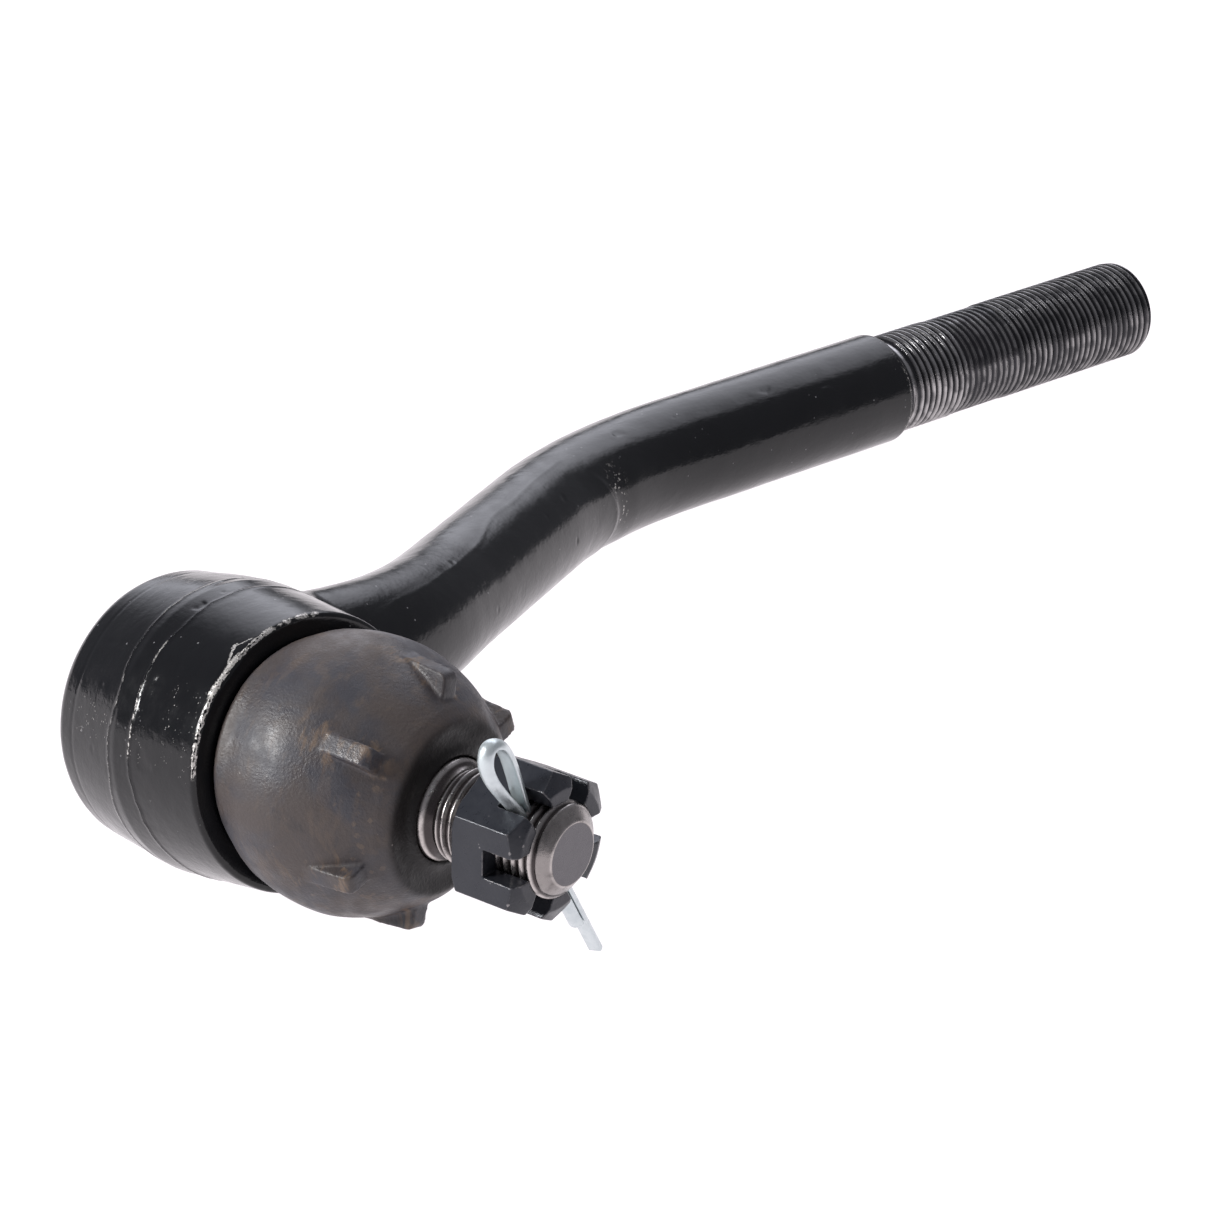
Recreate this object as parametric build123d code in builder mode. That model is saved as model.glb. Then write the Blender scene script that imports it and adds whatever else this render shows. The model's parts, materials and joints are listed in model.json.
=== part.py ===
from build123d import *
import math
import os

os.makedirs("parts", exist_ok=True)

# Frame: the origin is the ball centre. The bore runs along Y and the stud comes out towards -Y.
# The threaded shank points along +X and is set back towards +Y. +Z is up as the part lies on its side.
# "Height" below is measured from the ball centre along the bore, positive towards the stud.

# ---- stud pose at rest
stud_lean = 12.9
stud_bearing = -35.7

# ---- forged socket head
rim_height = 16.4
back_height = -17.2
rim_radius = 20.7
parting_radius = 22.1
back_radius = 20.7
back_corner = 3.2
rim_corner = 0.8
bore_radius = 16.4
bore_front = 8.1
mouth_inner_radius = 12.4
mouth_land = 0.6
mouth_outer_radius = 17.0
mouth_counterbore = 0.8
parting_below_rim = 17.0
cover_seat_height = -13.2
cover_pocket_radius = 18.2
cover_thickness = 2.0
lip_radius = 16.6

# ---- neck and shank
neck_start_x = 8.0
neck_offset = 7.2
neck_flare_height = 3.4
neck_flare_start = 22.0
neck_flare_length = 36.0
neck_flare_power = 1.55
shank_offset = 48.5
shank_radius = 9.72
first_bend_x = 30.3
second_bend_x = 109.4
first_bend_radius = 88.0
second_bend_radius = 84.0
shoulder_x = 178.8
shoulder_chamfer = 1.6
bend_sections = 7
run_sections = 5

# ---- shank thread, 11/16-18
thread_radius = 17.46 / 2
thread_pitch = 25.4 / 18
thread_depth = 0.72
thread_crest = 0.28
thread_end_x = 241.0
thread_end_chamfer = 1.2
relief_length = 1.6
relief_runout = 0.6
root_overlap = 1.0

# ---- ball stud
ball_radius = 12.7
ball_flat_height = -10.8
stud_neck_radius = 6.6
neck_top = 17.6
taper_start = 20.2
taper_small_height = 40.5
taper_small_radius = 7.6
taper_half_angle = 3.58
stud_thread_radius = 14.29 / 2
stud_thread_start = 42.7
stud_tip = 61.8
stud_tip_radius = 4.75
stud_tip_chamfer = 1.9
stud_relief = 1.0
cotter_hole_radius = 1.8
cotter_height = 55.4

# ---- bearings, seat and spring
bearing_radius = 16.36
seat_clearance = 0.04
upper_bearing_bottom = 0.5
upper_bearing_top = 8.0
upper_bearing_opening = 10.7
upper_bearing_flare = 0.7
lower_bearing_top = -0.5
lower_bearing_bottom = -9.0
seat_plate_thickness = 1.0
seat_plate_hole = 9.2
spring_wire = 1.2
spring_outer = 14.4
spring_inner = 10.4
spring_turns = 2.2
stack_clearance = 0.02

# ---- end cover
cover_boss_radius = 11.0
cover_boss_top_radius = 9.0
cover_boss_height = 0.9

# ---- grease fitting in the end cover, 1/4-28
fitting_thread_radius = 3.17
fitting_hex = 7.94
fitting_inner_height = -13.3
fitting_hex_height = 3.2
fitting_stem_radius = 2.3
fitting_head_radius = 3.3
fitting_tip_height = -27.4
fitting_shoulder = 0.9
fitting_groove_top = 3.4
fitting_head_top = 2.2
fitting_head_bottom = 1.2
fitting_nose_radius = 1.6
grease_way_radius = 0.9
grease_way_length = 1.5
grease_mouth_radius = 0.7
check_seat_height = 1.6
check_seat_depth = 0.6
check_ball_rise = 0.66
check_ball_radius = 1.2
check_bore_radius = 1.26
check_spring_wire = 0.3
check_spring_turns = 6

# ---- dust boot
boot_wall = 2.3
boot_crown_height = 39.9
boot_crown_radius = 12.8
boot_dish_radius = 9.8
boot_dish_height = 39.5
boot_lip_height = 40.3
boot_lip_radius = 8.7
boot_hole_radius = 7.95
boot_grip_height = 38.0
boot_throat_radius = 8.5
boot_fin_count = 6
boot_fin_clock = 55.6
boot_fin_width = 3.0
boot_fin_root_radius = 18.5
boot_fin_foot_height = 30.6
boot_fin_tip_radius = 18.9
boot_fin_tip_height = 37.0
boot_fin_top_radius = 14.4

# ---- castle nut and cotter pin
nut_across_flats = 20.3
nut_bottom = 48.3
nut_height = 11.4
nut_slot_width = 4.3
nut_slot_depth = 5.8
nut_clock = 7.0
nut_thread_clearance = 0.03
nut_bottom_chamfer_width = 1.0
nut_bottom_chamfer_height = 0.7
nut_crown_chamfer_width = 2.6
nut_crown_chamfer_height = 1.5
cotter_clock = nut_clock + 150
cotter_radius = 1.35
cotter_leg_gap = 0.2
cotter_long_leg = 27.0
cotter_short_leg = 19.1
cotter_eye_start = 6.6
cotter_eye_widest = 16.8
cotter_eye_end = 21.0
cotter_eye_half_width = 1.6


# =================================================================== directions and planes
bore_dir = Vector(0, -1, 0)
bearing_rad = math.radians(stud_bearing)
lean_side = Vector(math.cos(bearing_rad), 0, math.sin(bearing_rad))


def leaning(angle):
    """Unit vector that leans away from the bore by an angle, in the plane the stud leans in."""
    a = math.radians(angle)
    return bore_dir * math.cos(a) + lean_side * math.sin(a)


def profile_plane(axis_dir):
    """Plane whose x is a radius and whose y runs along the given axis, through the ball centre."""
    radial = (lean_side - axis_dir * lean_side.dot(axis_dir)).normalized()
    return Plane(origin=(0, 0, 0), x_dir=radial, z_dir=radial.cross(axis_dir))


def cross_plane(axis_dir, height, clock=0.0):
    """Plane square to an axis at a height on it, with its x turned by a clock angle."""
    radial = (lean_side - axis_dir * lean_side.dot(axis_dir)).normalized()
    turned = radial.rotate(Axis((0, 0, 0), axis_dir), clock)
    return Plane(origin=axis_dir * height, x_dir=turned, z_dir=axis_dir)


stud_dir = leaning(stud_lean)
bore_profile = profile_plane(bore_dir)
stud_profile = profile_plane(stud_dir)
bore_axis = Axis((0, 0, 0), bore_dir)
stud_axis = Axis((0, 0, 0), stud_dir)


def ring_grooves(start, end, radius, depth, pitch, crest):
    """Points of a thread outline as (position, radius) pairs: flat crests with V roots between them."""
    points = []
    count = int((end - start) / pitch)
    for k in range(count):
        base = start + k * pitch
        points.append((base, radius))
        points.append((base + crest, radius))
        points.append((base + (pitch + crest) / 2, radius - depth))
    last = start + count * pitch
    points.append((last, radius))
    points.append((end, radius))
    return points


# =================================================================== housing
# One forging: socket head, flared neck, S-bent shank and the threaded end.
def arc_between(corner, before, after, radius):
    """Tangent points and centre of the round that joins two straight runs at a corner."""
    back = (before - corner).normalized()
    ahead = (after - corner).normalized()
    half = math.acos(max(-1.0, min(1.0, back.dot(ahead)))) / 2
    reach = radius / math.tan(half)
    middle = (back + ahead).normalized()
    return corner + back * reach, corner + middle * (radius / math.sin(half)), corner + ahead * reach


neck_start = Vector(neck_start_x, neck_offset, 0)
first_corner = Vector(first_bend_x, neck_offset, 0)
second_corner = Vector(second_bend_x, shank_offset, 0)
straight_end = Vector(shoulder_x, shank_offset, 0)
bend_one = arc_between(first_corner, neck_start, second_corner, first_bend_radius)
bend_two = arc_between(second_corner, first_corner, straight_end, second_bend_radius)


def neck_half_height(x):
    """The neck is oval: its height grows from the shank's own radius towards its root in the head."""
    left = max(0.0, 1 - (x - neck_flare_start) / neck_flare_length)
    return shank_radius + neck_flare_height * left**neck_flare_power


def arc_stations(bend, count):
    """Points and directions along a bend, both ends included."""
    start, centre, end = bend
    first = start - centre
    second = end - centre
    sweep_angle = math.acos(first.normalized().dot(second.normalized()))
    turn = 1 if first.cross(second).Z > 0 else -1
    stations = []
    for k in range(count):
        angle = turn * sweep_angle * k / (count - 1)
        arm = first.rotate(Axis.Z, math.degrees(angle))
        along = arm.cross(Vector(0, 0, -turn)).normalized()
        stations.append((centre + arm, along))
    return stations


run_one = (bend_one[0] - neck_start).normalized()
stations = [(neck_start, run_one)]
stations += arc_stations(bend_one, bend_sections)
slant = bend_two[0] - bend_one[2]
stations += [(bend_one[2] + slant * (k / run_sections), slant.normalized()) for k in range(1, run_sections)]
stations += arc_stations(bend_two, bend_sections)

with BuildPart() as housing:
    # Socket head, turned about the bore.
    with BuildSketch(bore_profile):
        with BuildLine():
            rim = Line((0, rim_height), (rim_radius - rim_corner, rim_height))
            parting_height = rim_height - parting_below_rim
            side = Line((rim_radius, rim_height - rim_corner), (parting_radius, parting_height))
            tail = Line(side @ 1, (back_radius, back_height + back_corner))
            Line(rim @ 1, side @ 0)
            shoulder = RadiusArc(tail @ 1, (back_radius - back_corner, back_height), -back_corner)
            base = Line(shoulder @ 1, (0, back_height))
            Line(base @ 1, rim @ 0)
        make_face()
    revolve(axis=bore_axis)
    # Neck and bends, lofted through round sections square to the centreline.
    for point, along in stations:
        with BuildSketch(Plane(origin=point, x_dir=(0, 0, 1), z_dir=along)):
            Ellipse(neck_half_height(point.X), shank_radius)
    loft()
    # Straight shank up to its chamfered shoulder.
    with BuildSketch(Plane(origin=bend_two[2], x_dir=(0, 0, 1), z_dir=(1, 0, 0))):
        Circle(shank_radius)
    extrude(amount=shoulder_x - bend_two[2].X)
    shoulder_edge = housing.edges().filter_by(GeomType.CIRCLE).sort_by(Axis.X)[-1]
    chamfer(shoulder_edge, length=shoulder_chamfer)
    # Rolled thread with a relief at the shoulder.
    thread_root = thread_radius - thread_depth
    with BuildSketch(Plane.XY):
        with BuildLine():
            root_start = shoulder_x - root_overlap
            relief_end = shoulder_x + relief_length
            outline = [(root_start, 0), (root_start, thread_root), (relief_end, thread_root)]
            outline += ring_grooves(
                relief_end + relief_runout, thread_end_x - thread_end_chamfer, thread_radius, thread_depth,
                thread_pitch, thread_crest
            )
            outline += [(thread_end_x, thread_radius - thread_end_chamfer), (thread_end_x, 0)]
            Polyline(*[(x, shank_offset + r) for x, r in outline], close=True)
        make_face()
    revolve(axis=Axis((0, shank_offset, 0), (1, 0, 0)))
    # Bore for the bearings, pocket for the end cover and the flared mouth the stud swings in.
    with BuildSketch(bore_profile):
        with BuildLine():
            Polyline(
                (0, back_height - 1),
                (lip_radius, back_height - 1),
                (lip_radius, cover_seat_height - cover_thickness),
                (cover_pocket_radius, cover_seat_height - cover_thickness),
                (cover_pocket_radius, cover_seat_height),
                (bore_radius, cover_seat_height),
                (bore_radius, bore_front),
                (mouth_inner_radius, bore_front),
                (mouth_inner_radius, bore_front + mouth_land),
                (mouth_outer_radius, rim_height - mouth_counterbore),
                (mouth_outer_radius, rim_height + 1),
                (0, rim_height + 1),
                close=True,
            )
        make_face()
    revolve(axis=bore_axis, mode=Mode.SUBTRACT)
housing.part.label = "housing"
export_step(housing.part, "parts/housing.step")


# =================================================================== ball stud
taper_slope = math.tan(math.radians(taper_half_angle))
taper_large_radius = taper_small_radius + (taper_small_height - taper_start) * taper_slope
ball_flat_radius = math.sqrt(ball_radius**2 - ball_flat_height**2)
ball_neck_height = math.sqrt(ball_radius**2 - stud_neck_radius**2)
stud_root = stud_thread_radius - thread_depth

with BuildPart() as ball_stud:
    with BuildSketch(stud_profile):
        with BuildLine():
            flat = Line((0, ball_flat_height), (ball_flat_radius, ball_flat_height))
            ball = ThreePointArc(flat @ 1, (ball_radius, 0), (stud_neck_radius, ball_neck_height))
            neck = Line(ball @ 1, (stud_neck_radius, neck_top))
            flare = Line(neck @ 1, (taper_large_radius, taper_start))
            taper = Line(flare @ 1, (taper_small_radius, taper_small_height))
            thread = [(stud_thread_start - stud_relief, stud_root)]
            for height, radius in ring_grooves(
                stud_thread_start, stud_tip - stud_tip_chamfer, stud_thread_radius, thread_depth,
                thread_pitch, thread_crest
            ):
                thread.append((height, radius))
            thread += [(stud_tip, stud_tip_radius), (stud_tip, 0)]
            Polyline(taper @ 1, *[(r, h) for h, r in thread], flat @ 0)
        make_face()
    revolve(axis=stud_axis)
    # Cross hole for the cotter pin, on the line through two of the nut's slots.
    cotter_plane = cross_plane(stud_dir, cotter_height, cotter_clock)
    hole_plane = Plane(origin=cotter_plane.origin, x_dir=stud_dir, z_dir=cotter_plane.x_dir)
    with BuildSketch(hole_plane):
        Circle(cotter_hole_radius)
    extrude(amount=stud_thread_radius + 2, both=True, mode=Mode.SUBTRACT)
ball_stud.part.label = "ball_stud"
export_step(ball_stud.part, "parts/ball_stud.step")


# =================================================================== bearings
seat_radius = ball_radius + seat_clearance

with BuildPart() as upper_bearing:
    with BuildSketch(bore_profile):
        with BuildLine():
            low = math.sqrt(seat_radius**2 - upper_bearing_bottom**2)
            top_on_seat = math.sqrt(seat_radius**2 - upper_bearing_opening**2)
            middle_height = (upper_bearing_bottom + top_on_seat) / 2
            middle_radius = math.sqrt(seat_radius**2 - middle_height**2)
            seat = ThreePointArc(
                (low, upper_bearing_bottom),
                (middle_radius, middle_height),
                (upper_bearing_opening, top_on_seat),
            )
            Polyline(
                seat @ 1,
                (upper_bearing_opening + upper_bearing_flare, upper_bearing_top),
                (bearing_radius, upper_bearing_top),
                (bearing_radius, upper_bearing_bottom),
                seat @ 0,
            )
        make_face()
    revolve(axis=bore_axis)
upper_bearing.part.label = "upper_bearing"
export_step(upper_bearing.part, "parts/upper_bearing.step")

with BuildPart() as lower_bearing:
    with BuildSketch(bore_profile):
        with BuildLine():
            high = math.sqrt(seat_radius**2 - lower_bearing_top**2)
            low = math.sqrt(seat_radius**2 - lower_bearing_bottom**2)
            middle_height = (lower_bearing_bottom + lower_bearing_top) / 2
            middle_radius = math.sqrt(seat_radius**2 - middle_height**2)
            seat = ThreePointArc(
                (high, lower_bearing_top), (middle_radius, middle_height), (low, lower_bearing_bottom)
            )
            Polyline(
                seat @ 1,
                (bearing_radius, lower_bearing_bottom),
                (bearing_radius, lower_bearing_top),
                seat @ 0,
            )
        make_face()
    revolve(axis=bore_axis)
lower_bearing.part.label = "lower_bearing"
export_step(lower_bearing.part, "parts/lower_bearing.step")


# =================================================================== spring seat, spring and end cover
seat_plate_top = lower_bearing_bottom - stack_clearance
with BuildPart() as spring_seat:
    with BuildSketch(bore_profile):
        with Locations(
            ((seat_plate_hole + bearing_radius) / 2, seat_plate_top - seat_plate_thickness / 2)
        ):
            Rectangle(bearing_radius - seat_plate_hole, seat_plate_thickness)
    revolve(axis=bore_axis)
spring_seat.part.label = "spring_seat"
export_step(spring_seat.part, "parts/spring_seat.step")

spring_high = seat_plate_top - seat_plate_thickness - spring_wire / 2 - stack_clearance
spring_low = cover_seat_height + spring_wire / 2 + stack_clearance


def conical_coil(turns, wide, narrow, low, high, steps):
    """Points of a cone-shaped coil about the bore, wide end first."""
    points = []
    for k in range(steps + 1):
        share = k / steps
        angle = 2 * math.pi * turns * share
        radius = wide + (narrow - wide) * share
        height = low + (high - low) * share
        points.append(Vector(radius * math.cos(angle), -height, radius * math.sin(angle)))
    return points


with BuildPart() as preload_spring:
    with BuildLine() as coil:
        Spline(*conical_coil(spring_turns, spring_outer, spring_inner, spring_low, spring_high, 48))
    with BuildSketch(Plane(origin=coil.line @ 0, z_dir=coil.line % 0)):
        Circle(spring_wire / 2)
    sweep(path=coil.line, is_frenet=True)
preload_spring.part.label = "preload_spring"
export_step(preload_spring.part, "parts/preload_spring.step")

cover_back = cover_seat_height - cover_thickness
cover_hole_radius = fitting_thread_radius + stack_clearance
cover_radius = cover_pocket_radius - stack_clearance
with BuildPart() as end_cover:
    with BuildSketch(bore_profile):
        with BuildLine():
            Polyline(
                (cover_hole_radius, cover_seat_height),
                (cover_radius, cover_seat_height),
                (cover_radius, cover_back),
                (cover_boss_radius, cover_back),
                (cover_boss_top_radius, cover_back - cover_boss_height),
                (cover_hole_radius, cover_back - cover_boss_height),
                close=True,
            )
        make_face()
    revolve(axis=bore_axis)
end_cover.part.label = "end_cover"
export_step(end_cover.part, "parts/end_cover.step")


# =================================================================== grease fitting
hex_top = cover_back - cover_boss_height - stack_clearance
hex_bottom = hex_top - fitting_hex_height
check_seat = fitting_tip_height + check_seat_height
with BuildPart() as grease_fitting:
    with BuildSketch(Plane(origin=bore_dir * hex_top, x_dir=(1, 0, 0), z_dir=-bore_dir)):
        RegularPolygon(fitting_hex / 2, 6, major_radius=False)
    extrude(amount=fitting_hex_height)
    with BuildSketch(bore_profile):
        with BuildLine():
            Polyline(
                (0, fitting_inner_height),
                (fitting_thread_radius, fitting_inner_height),
                (fitting_thread_radius, hex_bottom),
                (fitting_stem_radius, hex_bottom - fitting_shoulder),
                (fitting_stem_radius, fitting_tip_height + fitting_groove_top),
                (fitting_head_radius, fitting_tip_height + fitting_head_top),
                (fitting_head_radius, fitting_tip_height + fitting_head_bottom),
                (fitting_nose_radius, fitting_tip_height),
                (0, fitting_tip_height),
                close=True,
            )
        make_face()
    revolve(axis=bore_axis)
    # Grease way: a narrow mouth, the check ball's chamber, and a neck that holds its spring up.
    with BuildSketch(bore_profile):
        with BuildLine():
            Polyline(
                (0, fitting_inner_height + 1),
                (grease_way_radius, fitting_inner_height + 1),
                (grease_way_radius, fitting_inner_height - grease_way_length),
                (check_bore_radius, fitting_inner_height - grease_way_length),
                (check_bore_radius, check_seat),
                (grease_mouth_radius, check_seat - check_seat_depth),
                (grease_mouth_radius, fitting_tip_height - 1),
                (0, fitting_tip_height - 1),
                close=True,
            )
        make_face()
    revolve(axis=bore_axis, mode=Mode.SUBTRACT)
grease_fitting.part.label = "grease_fitting"
export_step(grease_fitting.part, "parts/grease_fitting.step")

check_ball_height = check_seat + check_ball_rise
with BuildPart() as fitting_ball:
    with BuildSketch(Plane(origin=bore_dir * check_ball_height, x_dir=(1, 0, 0), z_dir=(0, 0, 1))):
        with BuildLine():
            half = ThreePointArc((0, -check_ball_radius), (check_ball_radius, 0), (0, check_ball_radius))
            Line(half @ 1, half @ 0)
        make_face()
    revolve(axis=bore_axis)
fitting_ball.part.label = "fitting_ball"
export_step(fitting_ball.part, "parts/fitting_ball.step")

check_spring_low = check_ball_height + check_ball_radius + check_spring_wire / 2 + stack_clearance
check_spring_high = fitting_inner_height - grease_way_length - check_spring_wire / 2 - stack_clearance
check_spring_radius = check_bore_radius - check_spring_wire / 2 - 2 * stack_clearance
with BuildPart() as fitting_spring:
    with BuildLine() as coil:
        Spline(
            *conical_coil(
                check_spring_turns, check_spring_radius, check_spring_radius,
                check_spring_low, check_spring_high, 12 * check_spring_turns
            )
        )
    with BuildSketch(Plane(origin=coil.line @ 0, z_dir=coil.line % 0)):
        Circle(check_spring_wire / 2)
    sweep(path=coil.line, is_frenet=True)
fitting_spring.part.label = "fitting_spring"
export_step(fitting_spring.part, "parts/fitting_spring.step")


# =================================================================== dust boot
# Round sections on planes that lean more and more: the base keeps near the rim, the top follows the stud.
# Each row: height on the stud axis, outer radius, lean of the section, and how far its middle lags
# behind the stud.
boot_sections = [
    (18.6, 19.5, 4.6, 2.0),
    (22.0, 20.3, 6.8, 1.6),
    (26.5, 20.4, 8.6, 1.1),
    (31.0, 19.0, 10.2, 0.6),
    (35.0, 16.9, 11.8, 0.2),
    (38.2, 14.6, 12.9, 0.0),
]


def boot_plane(height, lean, lag):
    """Section plane of the boot, leaning less than the stud near the base."""
    axis_dir = leaning(lean)
    centre = stud_dir * height - lean_side * lag
    return Plane(origin=centre, x_dir=axis_dir.cross(Vector(0, 0, 1)), z_dir=axis_dir)


with BuildPart() as dust_boot:
    for height, radius, lean, lag in boot_sections:
        with BuildSketch(boot_plane(height, lean, lag)):
            Circle(radius)
    loft()
    # Chamfered crown, dished on top, with a raised lip round the stud.
    crown_height, crown_radius = boot_sections[-1][:2]
    with BuildSketch(stud_profile):
        with BuildLine():
            Polyline(
                (0, crown_height),
                (crown_radius, crown_height),
                (boot_crown_radius, boot_crown_height),
                (boot_dish_radius, boot_dish_height),
                (boot_lip_radius, boot_lip_height),
                (0, boot_lip_height),
                close=True,
            )
        make_face()
    revolve(axis=stud_axis)
    # Wedge fins that rise from the wall and end in a square face towards the nut.
    for k in range(boot_fin_count):
        fin_plane = cross_plane(stud_dir, 0, boot_fin_clock + k * 360 / boot_fin_count)
        side_dir = fin_plane.x_dir.cross(stud_dir)
        with BuildSketch(Plane(origin=(0, 0, 0), x_dir=fin_plane.x_dir, z_dir=side_dir)):
            with BuildLine():
                Polyline(
                    (boot_fin_root_radius, boot_fin_foot_height),
                    (boot_fin_tip_radius, boot_fin_tip_height),
                    (boot_fin_top_radius, boot_fin_tip_height),
                    close=True,
                )
            make_face()
        extrude(amount=boot_fin_width / 2, both=True)
    # Hollow inside, open at the base and closed by the crown, which grips the stud under the lip.
    for height, radius, lean, lag in boot_sections[:-1]:
        with BuildSketch(boot_plane(height, lean, lag)):
            Circle(radius - boot_wall)
    loft(mode=Mode.SUBTRACT)
    throat_start = boot_sections[-2][0] - boot_wall
    throat_end = boot_lip_height + boot_wall
    with BuildSketch(stud_profile):
        with BuildLine():
            Polyline(
                (0, throat_start),
                (boot_throat_radius, throat_start),
                (boot_throat_radius, boot_grip_height),
                (boot_hole_radius, boot_grip_height),
                (boot_hole_radius, throat_end),
                (0, throat_end),
                close=True,
            )
        make_face()
    revolve(axis=stud_axis, mode=Mode.SUBTRACT)
dust_boot.part.label = "dust_boot"
export_step(dust_boot.part, "parts/dust_boot.step")


# =================================================================== castle nut
nut_plane = cross_plane(stud_dir, nut_bottom, nut_clock)
nut_top_height = nut_bottom + nut_height
nut_corner = nut_across_flats / math.sqrt(3)
with BuildPart() as castle_nut:
    with BuildSketch(nut_plane):
        RegularPolygon(nut_across_flats / 2, 6, major_radius=False)
        Circle(stud_thread_radius + nut_thread_clearance, mode=Mode.SUBTRACT)
    extrude(amount=nut_height)
    # Round the hex corners off at both faces with a cone.
    with BuildSketch(stud_profile):
        with BuildLine():
            Polyline(
                (0, nut_bottom - 1),
                (nut_corner - nut_bottom_chamfer_width, nut_bottom - 1),
                (nut_corner - nut_bottom_chamfer_width, nut_bottom),
                (nut_corner, nut_bottom + nut_bottom_chamfer_height),
                (nut_corner, nut_top_height - nut_crown_chamfer_height),
                (nut_corner - nut_crown_chamfer_width, nut_top_height),
                (nut_corner - nut_crown_chamfer_width, nut_top_height + 1),
                (0, nut_top_height + 1),
                close=True,
            )
        make_face()
    revolve(axis=stud_axis, mode=Mode.INTERSECT)
    # Six slots, one through the middle of each flat.
    with BuildSketch(cross_plane(stud_dir, nut_top_height, nut_clock + 30)):
        for k in range(3):
            Rectangle(3 * nut_corner, nut_slot_width, rotation=60 * k)
    extrude(amount=-nut_slot_depth, mode=Mode.SUBTRACT)
castle_nut.part.label = "castle_nut"
export_step(castle_nut.part, "parts/castle_nut.step")


# =================================================================== cotter pin
# Half-round wire folded in two. Local x runs along the pin towards its eye, local y across it.
eye_plane = Plane(origin=cotter_plane.origin, x_dir=cotter_plane.x_dir, z_dir=stud_dir)
leg_offset = cotter_leg_gap / 2


with BuildPart() as cotter_pin:
    # The eye, swept round from one leg to the other.
    with BuildLine(eye_plane) as eye:
        Spline(
            (cotter_eye_start, leg_offset),
            (cotter_eye_widest, cotter_eye_half_width),
            (cotter_eye_end, 0),
            (cotter_eye_widest, -cotter_eye_half_width),
            (cotter_eye_start, -leg_offset),
            tangents=[eye_plane.x_dir, -eye_plane.x_dir],
        )
    with BuildSketch(Plane(origin=eye.line @ 0, x_dir=stud_dir, z_dir=eye.line % 0)):
        Circle(cotter_radius)
        with Locations((0, -cotter_radius)):
            Rectangle(2 * cotter_radius, 2 * cotter_radius, mode=Mode.INTERSECT)
    sweep(path=eye.line)
    for side, length in ((1, cotter_short_leg), (-1, cotter_long_leg)):
        spot = eye_plane.from_local_coords(Vector(cotter_eye_start, side * leg_offset, 0))
        with BuildSketch(Plane(origin=spot, x_dir=stud_dir, z_dir=-eye_plane.x_dir)):
            Circle(cotter_radius)
            with Locations((0, side * cotter_radius)):
                Rectangle(2 * cotter_radius, 2 * cotter_radius, mode=Mode.INTERSECT)
        extrude(amount=cotter_eye_start + length)
cotter_pin.part.label = "cotter_pin"
export_step(cotter_pin.part, "parts/cotter_pin.step")
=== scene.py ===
import json
import math

import bmesh
import bpy
import numpy as np
from mathutils import Matrix, Vector


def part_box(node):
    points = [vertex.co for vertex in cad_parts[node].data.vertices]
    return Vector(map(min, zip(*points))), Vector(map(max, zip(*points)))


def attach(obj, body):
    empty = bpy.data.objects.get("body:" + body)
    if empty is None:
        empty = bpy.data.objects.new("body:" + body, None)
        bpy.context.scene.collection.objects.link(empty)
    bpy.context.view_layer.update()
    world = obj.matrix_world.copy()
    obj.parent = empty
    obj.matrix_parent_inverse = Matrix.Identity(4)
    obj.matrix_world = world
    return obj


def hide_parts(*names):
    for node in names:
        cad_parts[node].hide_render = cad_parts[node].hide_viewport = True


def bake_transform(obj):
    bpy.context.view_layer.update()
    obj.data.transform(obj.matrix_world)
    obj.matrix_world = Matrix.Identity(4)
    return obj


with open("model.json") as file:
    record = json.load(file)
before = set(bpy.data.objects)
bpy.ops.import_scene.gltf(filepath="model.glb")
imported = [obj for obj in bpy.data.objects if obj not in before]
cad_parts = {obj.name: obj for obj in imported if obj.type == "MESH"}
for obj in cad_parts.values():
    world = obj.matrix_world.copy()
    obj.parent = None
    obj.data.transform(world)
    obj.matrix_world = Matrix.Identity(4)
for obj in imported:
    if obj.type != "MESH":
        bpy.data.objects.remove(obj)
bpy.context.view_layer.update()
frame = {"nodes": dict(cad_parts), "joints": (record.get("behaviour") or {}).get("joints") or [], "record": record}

# =================================================================== places, read from the frame
MM = 0.001
record = frame["record"]
mounts = {m["name"]: m for m in record["mounts"]}
joints = {j["name"]: j for j in frame["joints"]}
BORE = np.array([0.0, -1.0, 0.0])
STUD = np.array(joints["stud_spin"]["axis"])
STUD = STUD / np.linalg.norm(STUD)
LEAN = math.acos(float(STUD @ BORE))
LEAN_SIDE = (STUD - BORE * math.cos(LEAN)) / math.sin(LEAN)


def node_points(node):
    """Corners of a CAD node's mesh in millimetres."""
    return np.array([v.co for v in frame["nodes"][node].data.vertices]) / MM


def box_mm(node):
    """Lowest and highest corner of a CAD node in millimetres."""
    low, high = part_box(node)
    return np.array(low) / MM, np.array(high) / MM


housing_high = box_mm("housing")[1]
cover_low, cover_high = box_mm("end_cover")
bearing_low, bearing_high = box_mm("upper_bearing")
along_stud = node_points("ball_stud") @ STUD
stud_tip = float(along_stud.max())
ball_flat = float(along_stud.min())

# =================================================================== sizes in millimetres
rim_height = 16.4
rim_radius = 20.7
rim_corner = 0.7
parting_radius = float(housing_high[2])
parting_height = -0.6
back_overhang = 1.6
back_height = -float(cover_high[1]) - back_overhang
back_radius = 20.7
back_corner = 3.2
mouth_inner = 12.4
mouth_outer = 17.0
mouth_land = 0.6
mouth_drop = 0.8
bore_clearance = 0.04
bore_radius = float(bearing_high[0]) + bore_clearance
bearing_gap = 0.1
bore_front = -float(bearing_low[1]) + bearing_gap
cover_thickness = 2.0
cover_clearance = 0.02
cover_pocket = float(cover_high[0]) + cover_clearance
cover_seat = -float(cover_low[1])
lip_radius = 16.6

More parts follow.
